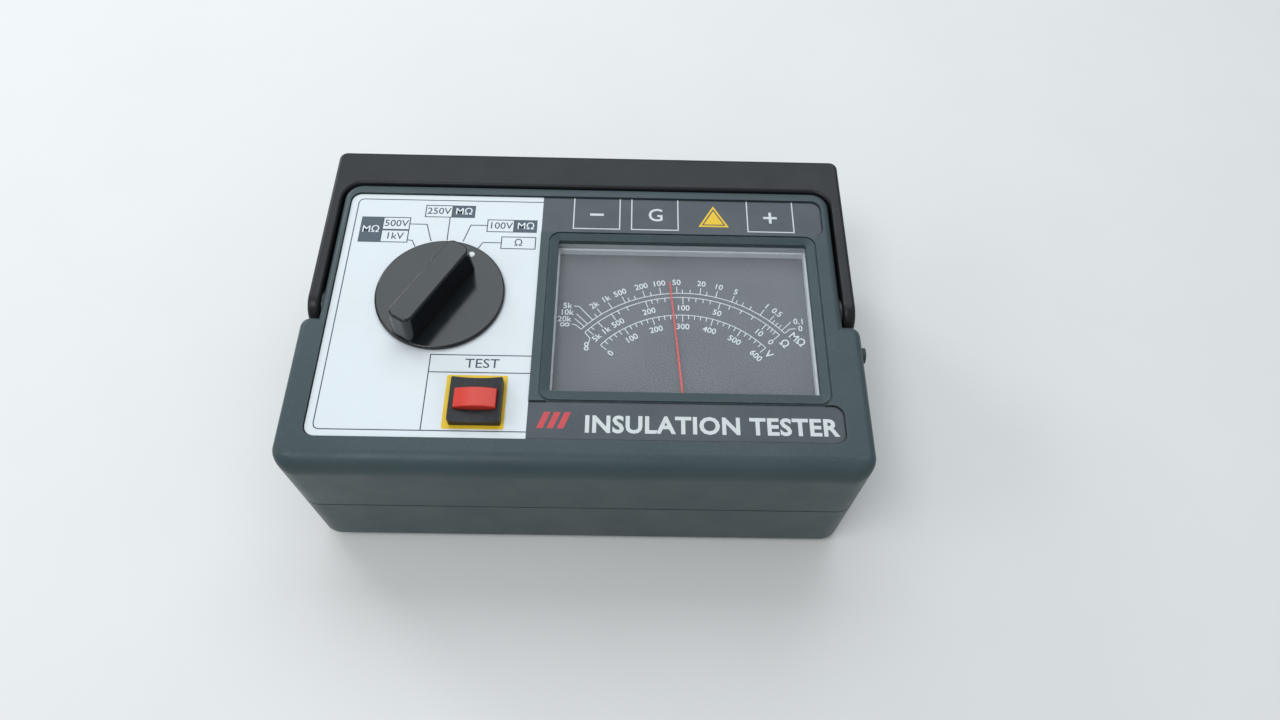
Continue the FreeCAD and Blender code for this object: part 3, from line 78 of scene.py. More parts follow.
class Paint:
    """A node material being built up: one Principled shader, fed by procedural textures.

    Textures use object coordinates, in metres, so a grain has its real size on every piece.
    """

    def __init__(self, name, colour, roughness, metallic=0.0):
        self.material = bpy.data.materials.new(name)
        self.material.use_nodes = True
        self.material.diffuse_color = (*colour, 1)
        self.nodes = self.material.node_tree.nodes
        self.links = self.material.node_tree.links
        self.shader = self.nodes["Principled BSDF"]
        self.shader.inputs["Metallic"].default_value = metallic
        self.place = self.node("ShaderNodeTexCoord").outputs["Object"]
        self.colour = self.node("ShaderNodeRGB").outputs[0]
        self.colour.default_value = (*colour, 1)
        self.roughness = self.node("ShaderNodeValue").outputs[0]
        self.roughness.default_value = roughness
        self.normal = None

    def node(self, kind, **settings):
        node = self.nodes.new(kind)
        for key, value in settings.items():
            setattr(node, key, value)
        return node

    def feed(self, socket, value):
        """Links a socket to another, or sets it to a number."""
        if isinstance(value, bpy.types.NodeSocket):
            self.links.new(value, socket)
        else:
            socket.default_value = value

    def math(self, operation, first, second=0.0, third=0.0):
        node = self.node("ShaderNodeMath", operation=operation)
        for socket, value in zip(node.inputs, (first, second, third)):
            self.feed(socket, value)
        return node.outputs[0]

    def spread(self, value, low, high, out_low=0.0, out_high=1.0):
        """Maps low..high of a value onto out_low..out_high, clamped."""
        node = self.node("ShaderNodeMapRange")
        for socket, amount in zip(node.inputs, (value, low, high, out_low, out_high)):
            self.feed(socket, amount)
        return node.outputs[0]

    def noise(self, size, detail=2.0, stretch=(1, 1, 1)):
        """A 0..1 noise whose blobs are about size mm across, longer along a stretched axis."""
        mapping = self.node("ShaderNodeMapping")
        mapping.inputs["Scale"].default_value = [1 / (size * MM * amount) for amount in stretch]
        self.links.new(self.place, mapping.inputs["Vector"])
        texture = self.node("ShaderNodeTexNoise")
        texture.inputs["Scale"].default_value = 1.0
        texture.inputs["Detail"].default_value = detail
        self.links.new(mapping.outputs["Vector"], texture.inputs["Vector"])
        return texture.outputs["Fac"]

    def waves(self, size, direction="X", distortion=0.0):
        """Parallel ridges size mm wide with gaps as wide between them, for windings and bands."""
        texture = self.node("ShaderNodeTexWave", wave_type="BANDS", bands_direction=direction)
        own_rate = 20  # the texture turns this many radians per unit at a scale of 1
        texture.inputs["Scale"].default_value = 1 / (size * MM) / own_rate * pi
        texture.inputs["Distortion"].default_value = distortion
        self.links.new(self.place, texture.inputs["Vector"])
        return texture.outputs["Fac"]

    def blend(self, amount, colour):
        """Mixes another colour into the base colour by a 0..1 amount."""
        mix = self.node("ShaderNodeMix", data_type="RGBA")
        self.feed(mix.inputs["Factor"], amount)
        self.links.new(self.colour, mix.inputs["A"])
        self.feed(mix.inputs["B"], (*colour, 1))
        self.colour = mix.outputs["Result"]
        return self

    def mix(self, amount, first, second):
        """A shader between two others."""
        node = self.node("ShaderNodeMixShader")
        for socket, value in zip(node.inputs, (amount, first.outputs[0], second.outputs[0])):
            self.feed(socket, value)
        return node

    def mottle(self, colour, size, amount=1.0, detail=3.0):
        """Soft patches of a second colour."""
        return self.blend(self.spread(self.noise(size, detail), 0.35, 0.75, 0, amount), colour)

    def roughen(self, size, amount, detail=3.0):
        """Varies the roughness by plus or minus amount."""
        change = self.spread(self.noise(size, detail), 0.3, 0.7, -amount, amount)
        self.roughness = self.math("ADD", self.roughness, change)
        return self

    def bump(self, height_map, height):
        """Adds relief of this height, in mm, from a 0..1 map."""
        node = self.node("ShaderNodeBump")
        node.inputs["Distance"].default_value = height * MM
        self.feed(node.inputs["Height"], height_map)
        if self.normal is not None:
            self.links.new(self.normal, node.inputs["Normal"])
        self.normal = node.outputs["Normal"]
        return self

    def edge_mask(self, width):
        """0..1, rising where the surface turns within width mm."""
        bevel = self.node("ShaderNodeBevel", samples=4)
        bevel.inputs["Radius"].default_value = width * MM
        flat = self.node("ShaderNodeNewGeometry").outputs["Normal"]
        dot = self.node("ShaderNodeVectorMath", operation="DOT_PRODUCT")
        self.links.new(bevel.outputs["Normal"], dot.inputs[0])
        self.links.new(flat, dot.inputs[1])
        return self.spread(dot.outputs["Value"], 0.985, 0.80)

    def wear(self, colour, width, amount):
        """Rubbed edges: patchy, and lighter or darker than the rest."""
        patches = self.spread(self.noise(4.0, 4.0), 0.42, 0.62)
        mask = self.math("MULTIPLY", self.edge_mask(width), patches)
        return self.blend(self.math("MULTIPLY", mask, amount), colour)

    def dust(self, colour, amount):
        """A thin uneven film on faces that look up."""
        up = self.node("ShaderNodeSeparateXYZ")
        self.links.new(self.node("ShaderNodeNewGeometry").outputs["Normal"], up.inputs[0])
        facing = self.spread(up.outputs["Z"], 0.5, 1.0)
        specks = self.spread(self.noise(1.1, 6.0), 0.56, 0.72)
        mask = self.math("MULTIPLY", facing, specks)
        return self.blend(self.math("MULTIPLY", mask, amount), colour)

    def done(self, **inputs):
        """Joins everything to the shader. Extra inputs are named like specular_ior_level."""
        self.links.new(self.colour, self.shader.inputs["Base Color"])
        self.links.new(self.roughness, self.shader.inputs["Roughness"])
        if self.normal is not None:
            self.links.new(self.normal, self.shader.inputs["Normal"])
        for key, value in inputs.items():
            name = key.replace("_", " ").title().replace("Ior", "IOR")
            self.feed(self.shader.inputs[name], value)
        return self.material


def moulded(name, colour, roughness=0.42, grain=0.45, relief=0.02, shine=0.5):
    """Injection-moulded plastic with a spark-eroded grain, faint patches and rubbed edges.

    grain and relief are the texture's width and depth in mm. shine is how strongly it reflects.
    """
    paint = Paint(name, colour, roughness)
    paint.mottle([channel * 1.16 + 0.004 for channel in colour], 38, 0.6)
    paint.wear([channel * 1.7 + 0.02 for channel in colour], 0.8, 0.5)
    paint.dust([0.34, 0.35, 0.35], 0.05)
    paint.roughen(14, 0.05)
    paint.bump(paint.noise(grain, 1.5), relief)
    return paint.done(specular_ior_level=shine)


def scratches(paint, amount):
    """Sparse thin streaks, as a value to add to the roughness."""
    along = paint.spread(paint.noise(0.5, 2.0, (30, 1, 1)), 0.66, 0.74)
    across = paint.spread(paint.noise(0.6, 2.0, (1, 24, 1)), 0.67, 0.75)
    return paint.math("MULTIPLY", paint.math("MAXIMUM", along, across), amount)


def glossy(name, colour, roughness=0.16, relief=0.004, polished=0.0, shine=0.5):
    """Smooth moulding with fine scratches and finger marks.

    polished is how much its rubbed edges lose in roughness. shine is how strongly it reflects.
    """
    paint = Paint(name, colour, roughness)
    paint.mottle([channel * 1.25 + 0.003 for channel in colour], 25, 0.4)
    paint.wear([channel * 1.6 + 0.01 for channel in colour], 0.5, 0.3)
    paint.roughen(12, 0.04)
    paint.roughness = paint.math("ADD", paint.roughness, scratches(paint, 0.08))
    if polished:
        rubbed = paint.math("MULTIPLY", paint.edge_mask(1.2), -polished)
        paint.roughness = paint.math("ADD", paint.roughness, rubbed)
    paint.bump(paint.noise(0.5, 2.0), relief)
    return paint.done(specular_ior_level=shine)


def soft_rubber(name, colour):
    paint = Paint(name, colour, 0.78)
    paint.mottle([channel * 1.8 + 0.01 for channel in colour], 12, 0.7)
    paint.dust([0.3, 0.3, 0.29], 0.2)
    paint.bump(paint.noise(0.35, 3.0), 0.03)
    return paint.done()


def metal(name, colour, roughness, brush=None, tarnish=None):
    """Bare or plated metal. brush stretches its fine lines along an axis."""
    paint = Paint(name, colour, roughness, 1.0)
    paint.mottle(tarnish or [channel * 0.72 for channel in colour], 6, 0.6, 4.0)
    paint.roughen(4, 0.08)
    paint.bump(paint.noise(0.25, 3.0, brush or (1, 1, 1)), 0.012)
    return paint.done()


def clear_acrylic():
    """The meter's cover: clear and faintly hazy where it lies flat, frosted where upright."""
    paint = Paint("clear_acrylic", (0.9, 0.93, 0.95), 0.03, 1.0)
    material = paint.done()
    clear = paint.node("ShaderNodeBsdfTransparent")
    clear.inputs["Color"].default_value = (0.96, 0.97, 0.975, 1)
    haze = paint.node("ShaderNodeBsdfDiffuse")
    haze.inputs["Color"].default_value = (0.85, 0.88, 0.90, 1)
    smears = paint.spread(paint.noise(22, 4.0), 0.40, 0.80, 0.030, 0.045)
    hazy = paint.mix(smears, clear, haze)
    facing = paint.node("ShaderNodeLayerWeight").outputs["Facing"]
    reflected = paint.math("MULTIPLY_ADD", paint.math("POWER", facing, 5.0), 0.97, 0.002)
    window = paint.mix(reflected, hazy, paint.shader)
    frosted = paint.node("ShaderNodeBsdfPrincipled")
    frosted.inputs["Base Color"].default_value = (0.80, 0.83, 0.85, 1)
    frosted.inputs["Roughness"].default_value = 0.3
    axis = paint.node("ShaderNodeSeparateXYZ")
    paint.feed(axis.inputs[0], paint.node("ShaderNodeNewGeometry").outputs["Normal"])
    upright = paint.spread(paint.math("ABSOLUTE", axis.outputs["Z"]), 0.8, 0.4)
    whole = paint.mix(upright, window, frosted)
    paint.feed(paint.nodes["Material Output"].inputs["Surface"], whole.outputs[0])
    return material


def small_glass(name, colour, alpha):
    paint = Paint(name, colour, 0.05)
    paint.roughen(3, 0.03)
    return paint.done(alpha=alpha)


def wound_wire(name, colour, pitch, direction):
    """Enamelled wire laid turn by turn."""
    paint = Paint(name, colour, 0.28, 0.9)
    paint.mottle([channel * 0.6 for channel in colour], 5, 0.8)
    paint.bump(paint.waves(pitch, direction, 0.4), 0.12)
    return paint.done(coat_weight=0.5)


def circuit_board():
    """Green solder mask over copper tracks."""
    paint = Paint("circuit_board", (0.02, 0.13, 0.055), 0.3)
    tracks_x = paint.spread(paint.waves(2.54, "X", 1.2), 0.62, 0.68)
    tracks_y = paint.spread(paint.waves(3.81, "Y", 1.5), 0.66, 0.72)
    tracks = paint.math("MAXIMUM", tracks_x, tracks_y)
    paint.blend(paint.math("MULTIPLY", tracks, 0.7), (0.03, 0.24, 0.085))
    paint.mottle((0.012, 0.09, 0.04), 30, 0.5)
    paint.bump(tracks, 0.03)
    return paint.done(coat_weight=0.4, coat_roughness=0.15)


def film(name, colour, roughness, dirt):
    """Printed polycarbonate film with a fine satin texture."""
    paint = Paint(name, colour, roughness)
    paint.mottle(dirt, 30, 0.35, 5.0)
    paint.dust(dirt, 0.3)
    paint.roughness = paint.math("ADD", paint.roughness, scratches(paint, 0.12))
    paint.roughen(10, 0.04)
    paint.bump(paint.noise(0.3, 2.0), 0.010)
    return paint.done(coat_weight=0.15, coat_roughness=0.25)


def ink(name, colour, roughness=0.5):
    """Screen-printed ink, a little uneven."""
    paint = Paint(name, colour, roughness)
    paint.mottle([channel * 0.86 for channel in colour], 3, 0.6, 4.0)
    paint.bump(paint.noise(0.2, 2.0), 0.006)
    return paint.done()


def dial_paint():
    """Matt grey stoved paint on the dial, slightly speckled."""
    paint = Paint("dial_paint", (0.168, 0.169, 0.180), 0.65)
    paint.mottle((0.190, 0.192, 0.203), 24, 0.7)
    paint.bump(paint.noise(0.8, 1.0), 0.001)
    return paint.done(specular_ior_level=0.15)


def cell_sleeve():
    """Plain battery sleeve: dark, with a copper-coloured band at one end."""
    paint = Paint("cell_sleeve", (0.02, 0.02, 0.024), 0.25)
    along = paint.node("ShaderNodeSeparateXYZ")
    paint.links.new(paint.place, along.inputs[0])
    y_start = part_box("battery_cells")[0].y
    band = paint.spread(along.outputs["Y"], y_start + 0.036, y_start + 0.0365)
    paint.blend(band, (0.42, 0.20, 0.06))
    paint.roughen(3, 0.05)
    return paint.done(coat_weight=0.6, coat_roughness=0.08)


def banded_resistors():
    paint = Paint("resistor_lacquer", (0.52, 0.38, 0.2), 0.35)
    bands = paint.spread(paint.waves(1.5, "Y"), 0.66, 0.7)
    paint.blend(bands, (0.16, 0.05, 0.02))
    paint.bump(paint.noise(0.6, 2.0), 0.02)
    return paint.done(coat_weight=0.3)


case_grey = (0.046, 0.068, 0.074)
SLOT_MATERIALS = {
    "case_grey": moulded("case_plastic", case_grey, 0.40, shine=0.27),
    "case_seal": soft_rubber("seal_rubber", (0.018, 0.018, 0.018)),
    "foot_rubber": soft_rubber("foot_rubber", (0.02, 0.02, 0.02)),
    "handle_black": glossy("handle_plastic", (0.014, 0.014, 0.016), 0.36, 0.006,
                           polished=0.24, shine=0.26),
    "zinc_screw": metal("zinc_plate", (0.62, 0.62, 0.58), 0.32),
    "pin_steel": metal("turned_steel", (0.5, 0.5, 0.51), 0.26, (1, 12, 12)),
    "washer_black": glossy("washer_nylon", (0.02, 0.02, 0.02), 0.4),
    "stud_grey": moulded("stud_plastic", case_grey, 0.4, 0.3, 0.015, shine=0.25),
    # the overlay's bare edge is painted near black: a painted shadow line in the recess round the printed films
    # and the land
    "overlay_print": film("painted_shadow_film", (0.010, 0.012, 0.015), 0.5, (0.02, 0.022, 0.025)),
    "knob_charcoal": glossy("knob_plastic", (0.007, 0.009, 0.011), 0.15, 0.0015),
    "knob_white": ink("knob_dot_paint", (0.84, 0.86, 0.87), 0.4),
    "surround_black": moulded("surround_plastic", (0.013, 0.013, 0.016), 0.38, 0.35, 0.006,
                              shine=0.3),
    "button_red": glossy("button_plastic", (0.60, 0.036, 0.020), 0.30, 0.002, shine=0.4),
    "spring_steel": metal("spring_wire", (0.6, 0.6, 0.6), 0.2),
    "phenolic_brown": moulded("phenolic", (0.10, 0.042, 0.02), 0.35, 0.8, 0.02),
    "brass": metal("brass", (0.72, 0.50, 0.20), 0.25, (1, 12, 1)),
    "nickel_contact": metal("nickel", (0.68, 0.66, 0.60), 0.18),
    "gasket_foam": soft_rubber("gasket_foam", (0.03, 0.032, 0.035)),
    "clear_cover": clear_acrylic(),
    "meter_white": moulded("meter_plastic", (0.44, 0.47, 0.485), 0.5, 0.5, 0.01),
    "dial_grey": dial_paint(),
    "magnet_grey": metal("magnet_alloy", (0.20, 0.20, 0.21), 0.45),
    "alloy": metal("die_cast_alloy", (0.60, 0.60, 0.61), 0.42),
    "jewel": small_glass("jewel", (0.5, 0.02, 0.06), 0.8),
    "pointer_red": ink("pointer_paint", (0.80, 0.055, 0.05), 0.4),
    "copper": wound_wire("enamelled_wire", (0.60, 0.22, 0.10), 0.5, "Z"),
    "lead_black": soft_rubber("lead_sleeve", (0.02, 0.02, 0.022)),
    "board_green": circuit_board(),
    "ferrite": moulded("ferrite", (0.035, 0.035, 0.038), 0.6, 0.6, 0.03),
    "can_blue": glossy("can_sleeve", (0.012, 0.03, 0.16), 0.2),
    "relay_orange": glossy("relay_cap", (0.50, 0.42, 0.30), 0.3),
    "chip_black": moulded("chip_epoxy", (0.014, 0.014, 0.015), 0.5, 0.3, 0.015),
    "trimmer_blue": glossy("trimmer_body", (0.02, 0.08, 0.32), 0.3),
    "resistor_tan": banded_resistors(),
    "fuse_glass": small_glass("fuse_glass", (0.82, 0.86, 0.84), 0.45),
    "tray_black": moulded("tray_plastic", (0.022, 0.022, 0.024), 0.5),
    "cell_sleeve": cell_sleeve(),
    "plate_silver": metal("plate_foil", (0.60, 0.61, 0.62), 0.36, (40, 1, 1)),
}

for entry in record["subparts"]:
    mesh = frame["nodes"][entry["node"]].data
    mesh.materials.clear()
    mesh.materials.append(SLOT_MATERIALS[entry["material_slot"]])


# ---------------------------------------------------------------- flat printing

FILM_THICK = 0.03
INK_THICK = 0.025
TOP_INK_THICK = 0.02


def collection_link(obj):
    bpy.context.scene.collection.objects.link(obj)
    return obj


def loop_points(left, right, front, back, radius=0.0, steps=6):
    """Corners of an upright rectangle, rounded where radius is above zero."""
    if radius == 0:
        return [(left, front), (right, front), (right, back), (left, back)]
    centres = [(right - radius, front + radius, -90), (right - radius, back - radius, 0),
               (left + radius, back - radius, 90), (left + radius, front + radius, 180)]
    points = []
    for x, y, start in centres:
        for step in range(steps + 1):
            angle = radians(start + 90 * step / steps)
            points.append((x + radius * cos(angle), y + radius * sin(angle)))
    return points


def circle_points(x, y, radius, steps=48):
    angles = [2 * pi * n / steps for n in range(steps)]
    return [(x + radius * cos(angle), y + radius * sin(angle)) for angle in angles]


def polar(radius, degrees_right):
    """A point on the dial: degrees_right are counted clockwise from straight up the scale."""
    angle = radians(degrees_right)
    return Vector((needle_x + radius * sin(angle), needle_y + radius * cos(angle)))


def arc_points(radius, start, end, steps=60):
    return [polar(radius, start + (end - start) * n / steps) for n in range(steps + 1)]


class Print:
    """One ink: flat shapes and letters gathered into a single thin mesh piece, from z up."""

    def __init__(self, name, material, z, thick=FILM_THICK):
        self.name = name
        self.material = material
        self.z = z
        self.thick = thick
        self.mesh = bmesh.new()

    def add_curve(self, curve, place):
        """Turns a filled curve into a solid and adds it."""
        helper = collection_link(bpy.data.objects.new("helper", curve))
        helper.matrix_world = place
        bpy.context.view_layer.update()
        evaluated = helper.evaluated_get(bpy.context.evaluated_depsgraph_get())
        mesh = bpy.data.meshes.new_from_object(evaluated)
        mesh.transform(place)
        self.mesh.from_mesh(mesh)
        bpy.data.objects.remove(helper)
        bpy.data.curves.remove(curve)

    def place(self, x=0.0, y=0.0):
        """Matrix that turns mm into metres and lifts a shape to the ink's middle."""
        to_metres = Matrix.Diagonal((MM, MM, MM, 1))
        return to_metres @ Matrix.Translation((x, y, self.z + self.thick / 2))

    def text(self, words, x, y, cap, turn=0.0, stretch=1.0, bold=0.0, spacing=1.0):
        """Letters with capitals cap mm high, centred on x, y and turned clockwise."""
        curve = bpy.data.curves.new("letters", "FONT")
        curve.body = words
        capital_share = 0.69
        curve.size = cap / capital_share
        curve.align_x = "CENTER"
        curve.align_y = "CENTER"
        curve.space_character = spacing
        curve.resolution_u = 3
        curve.offset = bold
        curve.extrude = self.thick / 2
        turned = Matrix.Rotation(radians(-turn), 4, "Z")
        stretched = Matrix.Diagonal((stretch, 1, 1, 1))
        self.add_curve(curve, self.place(x, y) @ turned @ stretched)

    def sheet(self, *loops):
        """A filled shape; every loop after the first is a hole."""
        curve = bpy.data.curves.new("sheet", "CURVE")
        curve.dimensions = "2D"
        curve.fill_mode = "BOTH"
        curve.extrude = self.thick / 2
        for points in loops:
            spline = curve.splines.new("POLY")
            spline.points.add(len(points) - 1)
            for point, (x, y) in zip(spline.points, points):
                point.co = (x, y, 0, 1)
            spline.use_cyclic_u = True
        self.add_curve(curve, self.place())

    def line(self, points, width, closed=False):
        """A line of even width along points, mitred at its corners."""
        points = [Vector(point).to_2d() for point in points]
        count = len(points)
        rails = []
        for n, point in enumerate(points):
            before = points[n - 1] if n or closed else None
            after = points[(n + 1) % count] if n + 1 < count or closed else None
            steps = [pair for pair in ((before, point), (point, after)) if None not in pair]
            ways = [(end - start).normalized() for start, end in steps]
            way = sum(ways, Vector((0, 0))).normalized()
            sharpest_mitre = 0.4
            side = Vector((-way.y, way.x)) * width / 2 / max(way.dot(ways[0]), sharpest_mitre)
            rails.append((point + side, point - side))
        rings = []
        for left, right in rails:
            ring = []
            for rail, up in ((left, 0), (right, 0), (right, self.thick), (left, self.thick)):
                ring.append(self.mesh.verts.new((rail.x * MM, rail.y * MM, (self.z + up) * MM)))
            rings.append(ring)
        last = count if closed else count - 1
        for n in range(last):
            here, there = rings[n], rings[(n + 1) % count]
            for k in range(4):
                self.mesh.faces.new((here[k], here[(k + 1) % 4], there[(k + 1) % 4], there[k]))
        if not closed:
            self.mesh.faces.new(rings[0][::-1])
            self.mesh.faces.new(rings[-1])

    def box(self, left, right, front, back, width, radius=0.0):
        """The outline of a rectangle, drawn inside it."""
        half = width / 2
        outline = loop_points(left + half, right - half, front + half, back - half, radius)
        self.line(outline, width, closed=True)

    def finish(self, body="case", slot="overlay_print"):
        one_micron = 0.001 * MM
        bmesh.ops.remove_doubles(self.mesh, verts=self.mesh.verts, dist=one_micron)
        bmesh.ops.recalc_face_normals(self.mesh, faces=self.mesh.faces)
        mesh = bpy.data.meshes.new(self.name)
        self.mesh.to_mesh(mesh)
        self.mesh.free()
        mesh.materials.append(self.material)
        piece = collection_link(bpy.data.objects.new(self.name, mesh))
        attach(piece, body)
        return piece


# ---------------------------------------------------------------- panel printing

WHITE_FILM = film("white_film", (0.705, 0.74, 0.765), 0.34, (0.64, 0.66, 0.66))
DARK_FILM = film("dark_film", (0.030, 0.042, 0.054), 0.42, (0.07, 0.08, 0.09))
GREY_INK = ink("grey_ink", (0.065, 0.088, 0.115))
WHITE_INK = ink("white_ink", (0.78, 0.82, 0.85))
MARK_INK = ink("mark_ink", (0.64, 0.67, 0.67))
DARK_INK = ink("dark_ink", (0.045, 0.055, 0.075))
YELLOW_INK = ink("yellow_ink", (0.84, 0.54, 0.010))
RED_INK = ink("red_ink", (0.58, 0.05, 0.06))
DIAL_INK = ink("dial_ink", (0.86, 0.88, 0.89))
LINING = ink("lining_plastic", (0.86, 0.88, 0.90), 0.35)

# the films stop this far inside the overlay's edge, so the near-black overlay shows as a painted shadow line
shadow_line_edge = 0.25
field_left = overlay_low.x + shadow_line_edge
field_right = land_left
sheet_front = overlay_low.y + shadow_line_edge
sheet_back = overlay_high.y - shadow_line_edge
film_right = overlay_high.x - shadow_line_edge
ink_z = film_top + FILM_THICK
top_ink_z = ink_z + INK_THICK


def button_opening(room=0.0):
    """Outline of the opening for the test button, room mm larger on every side."""
    half_x, half_y = 9.1 + room, 8.6 + room
    return loop_points(button_x - half_x, button_x + half_x, button_y - half_y, button_y + half_y)


def lay_films():
    """The overlay's three colour areas: white field, and dark strips above and below the meter."""
    # the strips stop short of the land and the film's edge, so bands of the near-black overlay show there as
    # painted shadow lines
    shadow_gap = 0.25
    corner = 4.0
    nut_radius = 8.2
    white = Print("white_field", WHITE_FILM, film_top)
    field = loop_points(field_left, field_right + corner, sheet_front, sheet_back, corner)
    field = [(min(x, field_right), y) for x, y in field]
    white.sheet(field, circle_points(knob_x, knob_y, nut_radius), button_opening())
    white.finish()
    dark = Print("dark_strips", DARK_FILM, film_top)
    beside_white = field_right + 0.02
    front_strip = (sheet_front + shadow_gap, land_front - 2 * shadow_gap)
    back_strip = (land_back + 2 * shadow_gap, sheet_back - shadow_gap)
    for front, back in (front_strip, back_strip):
        strip = loop_points(field_right - corner, film_right - shadow_gap, front, back, corner - shadow_gap)
        dark.sheet([(max(x, beside_white), y) for x, y in strip])
    dark.finish()


RANGE_LABELS = [
    # words, left, right, front, back, reversed out of grey
    ("MΩ", -94.0, -85.0, 25.8, 39.0, True),
    ("500V", -85.0, -73.5, 32.3, 39.0, False),
    ("1kV", -85.0, -73.5, 25.8, 32.3, False),
    ("250V", -68.0, -56.5, 39.3, 45.8, False),
    ("MΩ", -56.5, -47.0, 39.3, 45.8, True),
    ("100V", -41.5, -30.0, 32.1, 38.7, False),
    ("MΩ", -30.0, -20.5, 32.1, 38.7, True),
    ("Ω", -35.0, -20.5, 23.5, 29.9, False),
]
LEADERS = [
    [(-73.5, 35.5), (-66.5, 35.5), (-63.8, 26.7)],
    [(-73.5, 27.2), (-71.6, 27.0), (-70.0, 23.8)],
    [(-57.3, 39.3), (-57.3, 27.3)],
    [(-41.5, 35.5), (-48.2, 35.5), (-50.6, 27.0)],
    [(-35.0, 26.6), (-42.4, 26.6), (-44.3, 23.2)],
]


def print_field():
    """Frame line, range labels with their leaders, and the box round the test button."""
    lines = Print("field_lines", DARK_INK, ink_z, INK_THICK)
    thin = 0.42
    frame_left, frame_back, frame_front = field_left + 3.0, 48.4, -59.3
    turn, ease = 2.0, 0.6
    corner = [(frame_left + turn, frame_back), (frame_left + ease, frame_back - ease),
              (frame_left, frame_back - turn)]
    foot = [(frame_left, frame_front + turn), (frame_left + ease, frame_front + ease),
            (frame_left + turn, frame_front)]
    lines.line([(field_right, frame_back), *corner, *foot, (field_right, frame_front)], thin)
    for _, left, right, front, back, reverse in RANGE_LABELS:
        if not reverse:
            lines.box(left, right, front, back, thin)
    for route in LEADERS:
        lines.line(route, thin)
    test_left, test_back, test_rule = -57.3, -27.2, -34.8
    clear = thin / 2 - 0.01
    test_box = [(test_left, frame_front + clear), (test_left, test_back), (field_right, test_back)]
    lines.line(test_box, thin)
    lines.line([(test_left + clear, test_rule), (field_right, test_rule)], thin)
    lines.finish()

    words = Print("field_words", DARK_INK, ink_z, INK_THICK)
    blocks = Print("unit_blocks", GREY_INK, ink_z, INK_THICK)
    block_words = Print("unit_words", WHITE_INK, top_ink_z, TOP_INK_THICK)
    for label, left, right, front, back, reverse in RANGE_LABELS:
        sheet = block_words if reverse else words
        if reverse:
            blocks.sheet(loop_points(left, right, front, back))
        sheet.text(label, (left + right) / 2, (front + back) / 2, 3.3, bold=0.025)
    words.text("TEST", -37.2, -31.0, 3.9, bold=0.02, stretch=1.08)
    for sheet in (words, blocks, block_words):
        sheet.finish()

    yellow = Print("button_square", YELLOW_INK, ink_z, INK_THICK)
    yellow.sheet(loop_points(-49.9, -26.9, -58.5, -36.0, 0.6), button_opening(0.1))
    yellow.finish()


def print_strips():
    """Socket marks with their open boxes, a plain yellow triangle and the title strip."""
    marks = Print("socket_marks", MARK_INK, ink_z, INK_THICK)
    line = 0.5
    box_foot = 34.9
    boxes = [(-5.4, 14.0), (19.0, 38.6), (68.0, 87.4)]
    for left, right in boxes:
        open_box = [(left, sheet_back), (left, box_foot), (right, box_foot), (right, sheet_back)]
        marks.line(open_box, line)
    minus_x, guard_x, plus_x = [(left + right) / 2 for left, right in boxes]
    middle = 42.4
    arm, stroke = 2.9, 1.15
    for x in (minus_x, plus_x):
        marks.line([(x - arm, middle), (x + arm, middle)], stroke)
    marks.line([(plus_x, middle - arm), (plus_x, middle - stroke / 2)], stroke)
    marks.line([(plus_x, middle + stroke / 2), (plus_x, middle + arm)], stroke)
    marks.text("G", guard_x + 0.4, middle, 6.4, bold=0.08)
    marks.text("INSULATION TESTER", 49.6, -56.0, 6.6, bold=0.30, spacing=1.06)
    marks.finish()

    triangle = Print("plain_triangle", YELLOW_INK, ink_z, INK_THICK)
    corners = [(47.2, 37.0), (60.0, 37.0), (53.6, 48.1)]
    triangle.sheet(corners)
    triangle.finish()
    edge = Print("triangle_line", DARK_INK, top_ink_z, TOP_INK_THICK)
    centre = Vector((53.6, 40.7))
    shrink = 0.72
    smaller = [centre + (Vector(corner) - centre) * shrink for corner in corners]
    edge.line(smaller, line, closed=True)
    edge.finish()

    slashes = Print("red_slashes", RED_INK, ink_z, INK_THICK)
    lean, wide, front, back = 2.6, 2.4, -57.6, -50.9
    for x in (-15.0, -11.2, -7.4):
        slashes.sheet([(x, front), (x + wide, front), (x + wide + lean, back), (x + lean, back)])
    slashes.finish()


lay_films()
print_field()
print_strips()


# ---------------------------------------------------------------- dial and window

# places on the scales are degrees clockwise from straight up, and lengths are mm
MEGOHM_RADIUS, OHM_RADIUS, VOLT_RADIUS = 54.9, 52.8, 44.2
FULL_SCALE = 48.3
MEGOHM_MARKS = {
    "2k": -36.8, "1k": -31.5, "500": -25.2, "200": -16.3, "100": -9.2, "50": -2.2,
    "20": 7.7, "10": 14.6, "5": 21.7, "1": 35.2, "0.5": 39.9,
}
MEGOHM_SMALL = [-39.2, -23.2, -20.4, -13.4, 0.1, 3.4, 10.5, 23.6, 26.4, 30.1, 41.5, 43.2, 44.9]
MEGOHM_LEADERS = {
    # mark: (degrees, how far its line runs out, end of its line, label)
    "5k": (-41.6, 8.6, (-4.0, 1.3), (-6.6, 1.4)),
    "10k": (-44.5, 6.6, None, (-6.8, -1.8)),
    "20k": (-46.4, 5.4, None, (-7.6, -5.0)),
    "∞": (-48.2, 3.0, (-4.4, -7.3), (-7.3, -7.6)),
    "0.1": (46.6, 4.4, (84.2, -4.4), (87.6, -4.3)),
    "0": (48.5, 3.0, (86.2, -7.6), (88.0, -7.6)),
}
OHM_MARKS = {
    "5k": -46.5, "1k": -40.6, "500": -33.3, "200": -16.6,
    "100": 0.3, "50": 17.2, "10": 40.0, "0": 47.6,
}
OHM_SMALL = [
    -44.4, -30.0, -25.6, -14.0, -11.4, -7.9, 3.0, 6.2,
    9.5, 12.8, 21.8, 27.3, 33.2, 42.0, 43.7, 45.3,
]


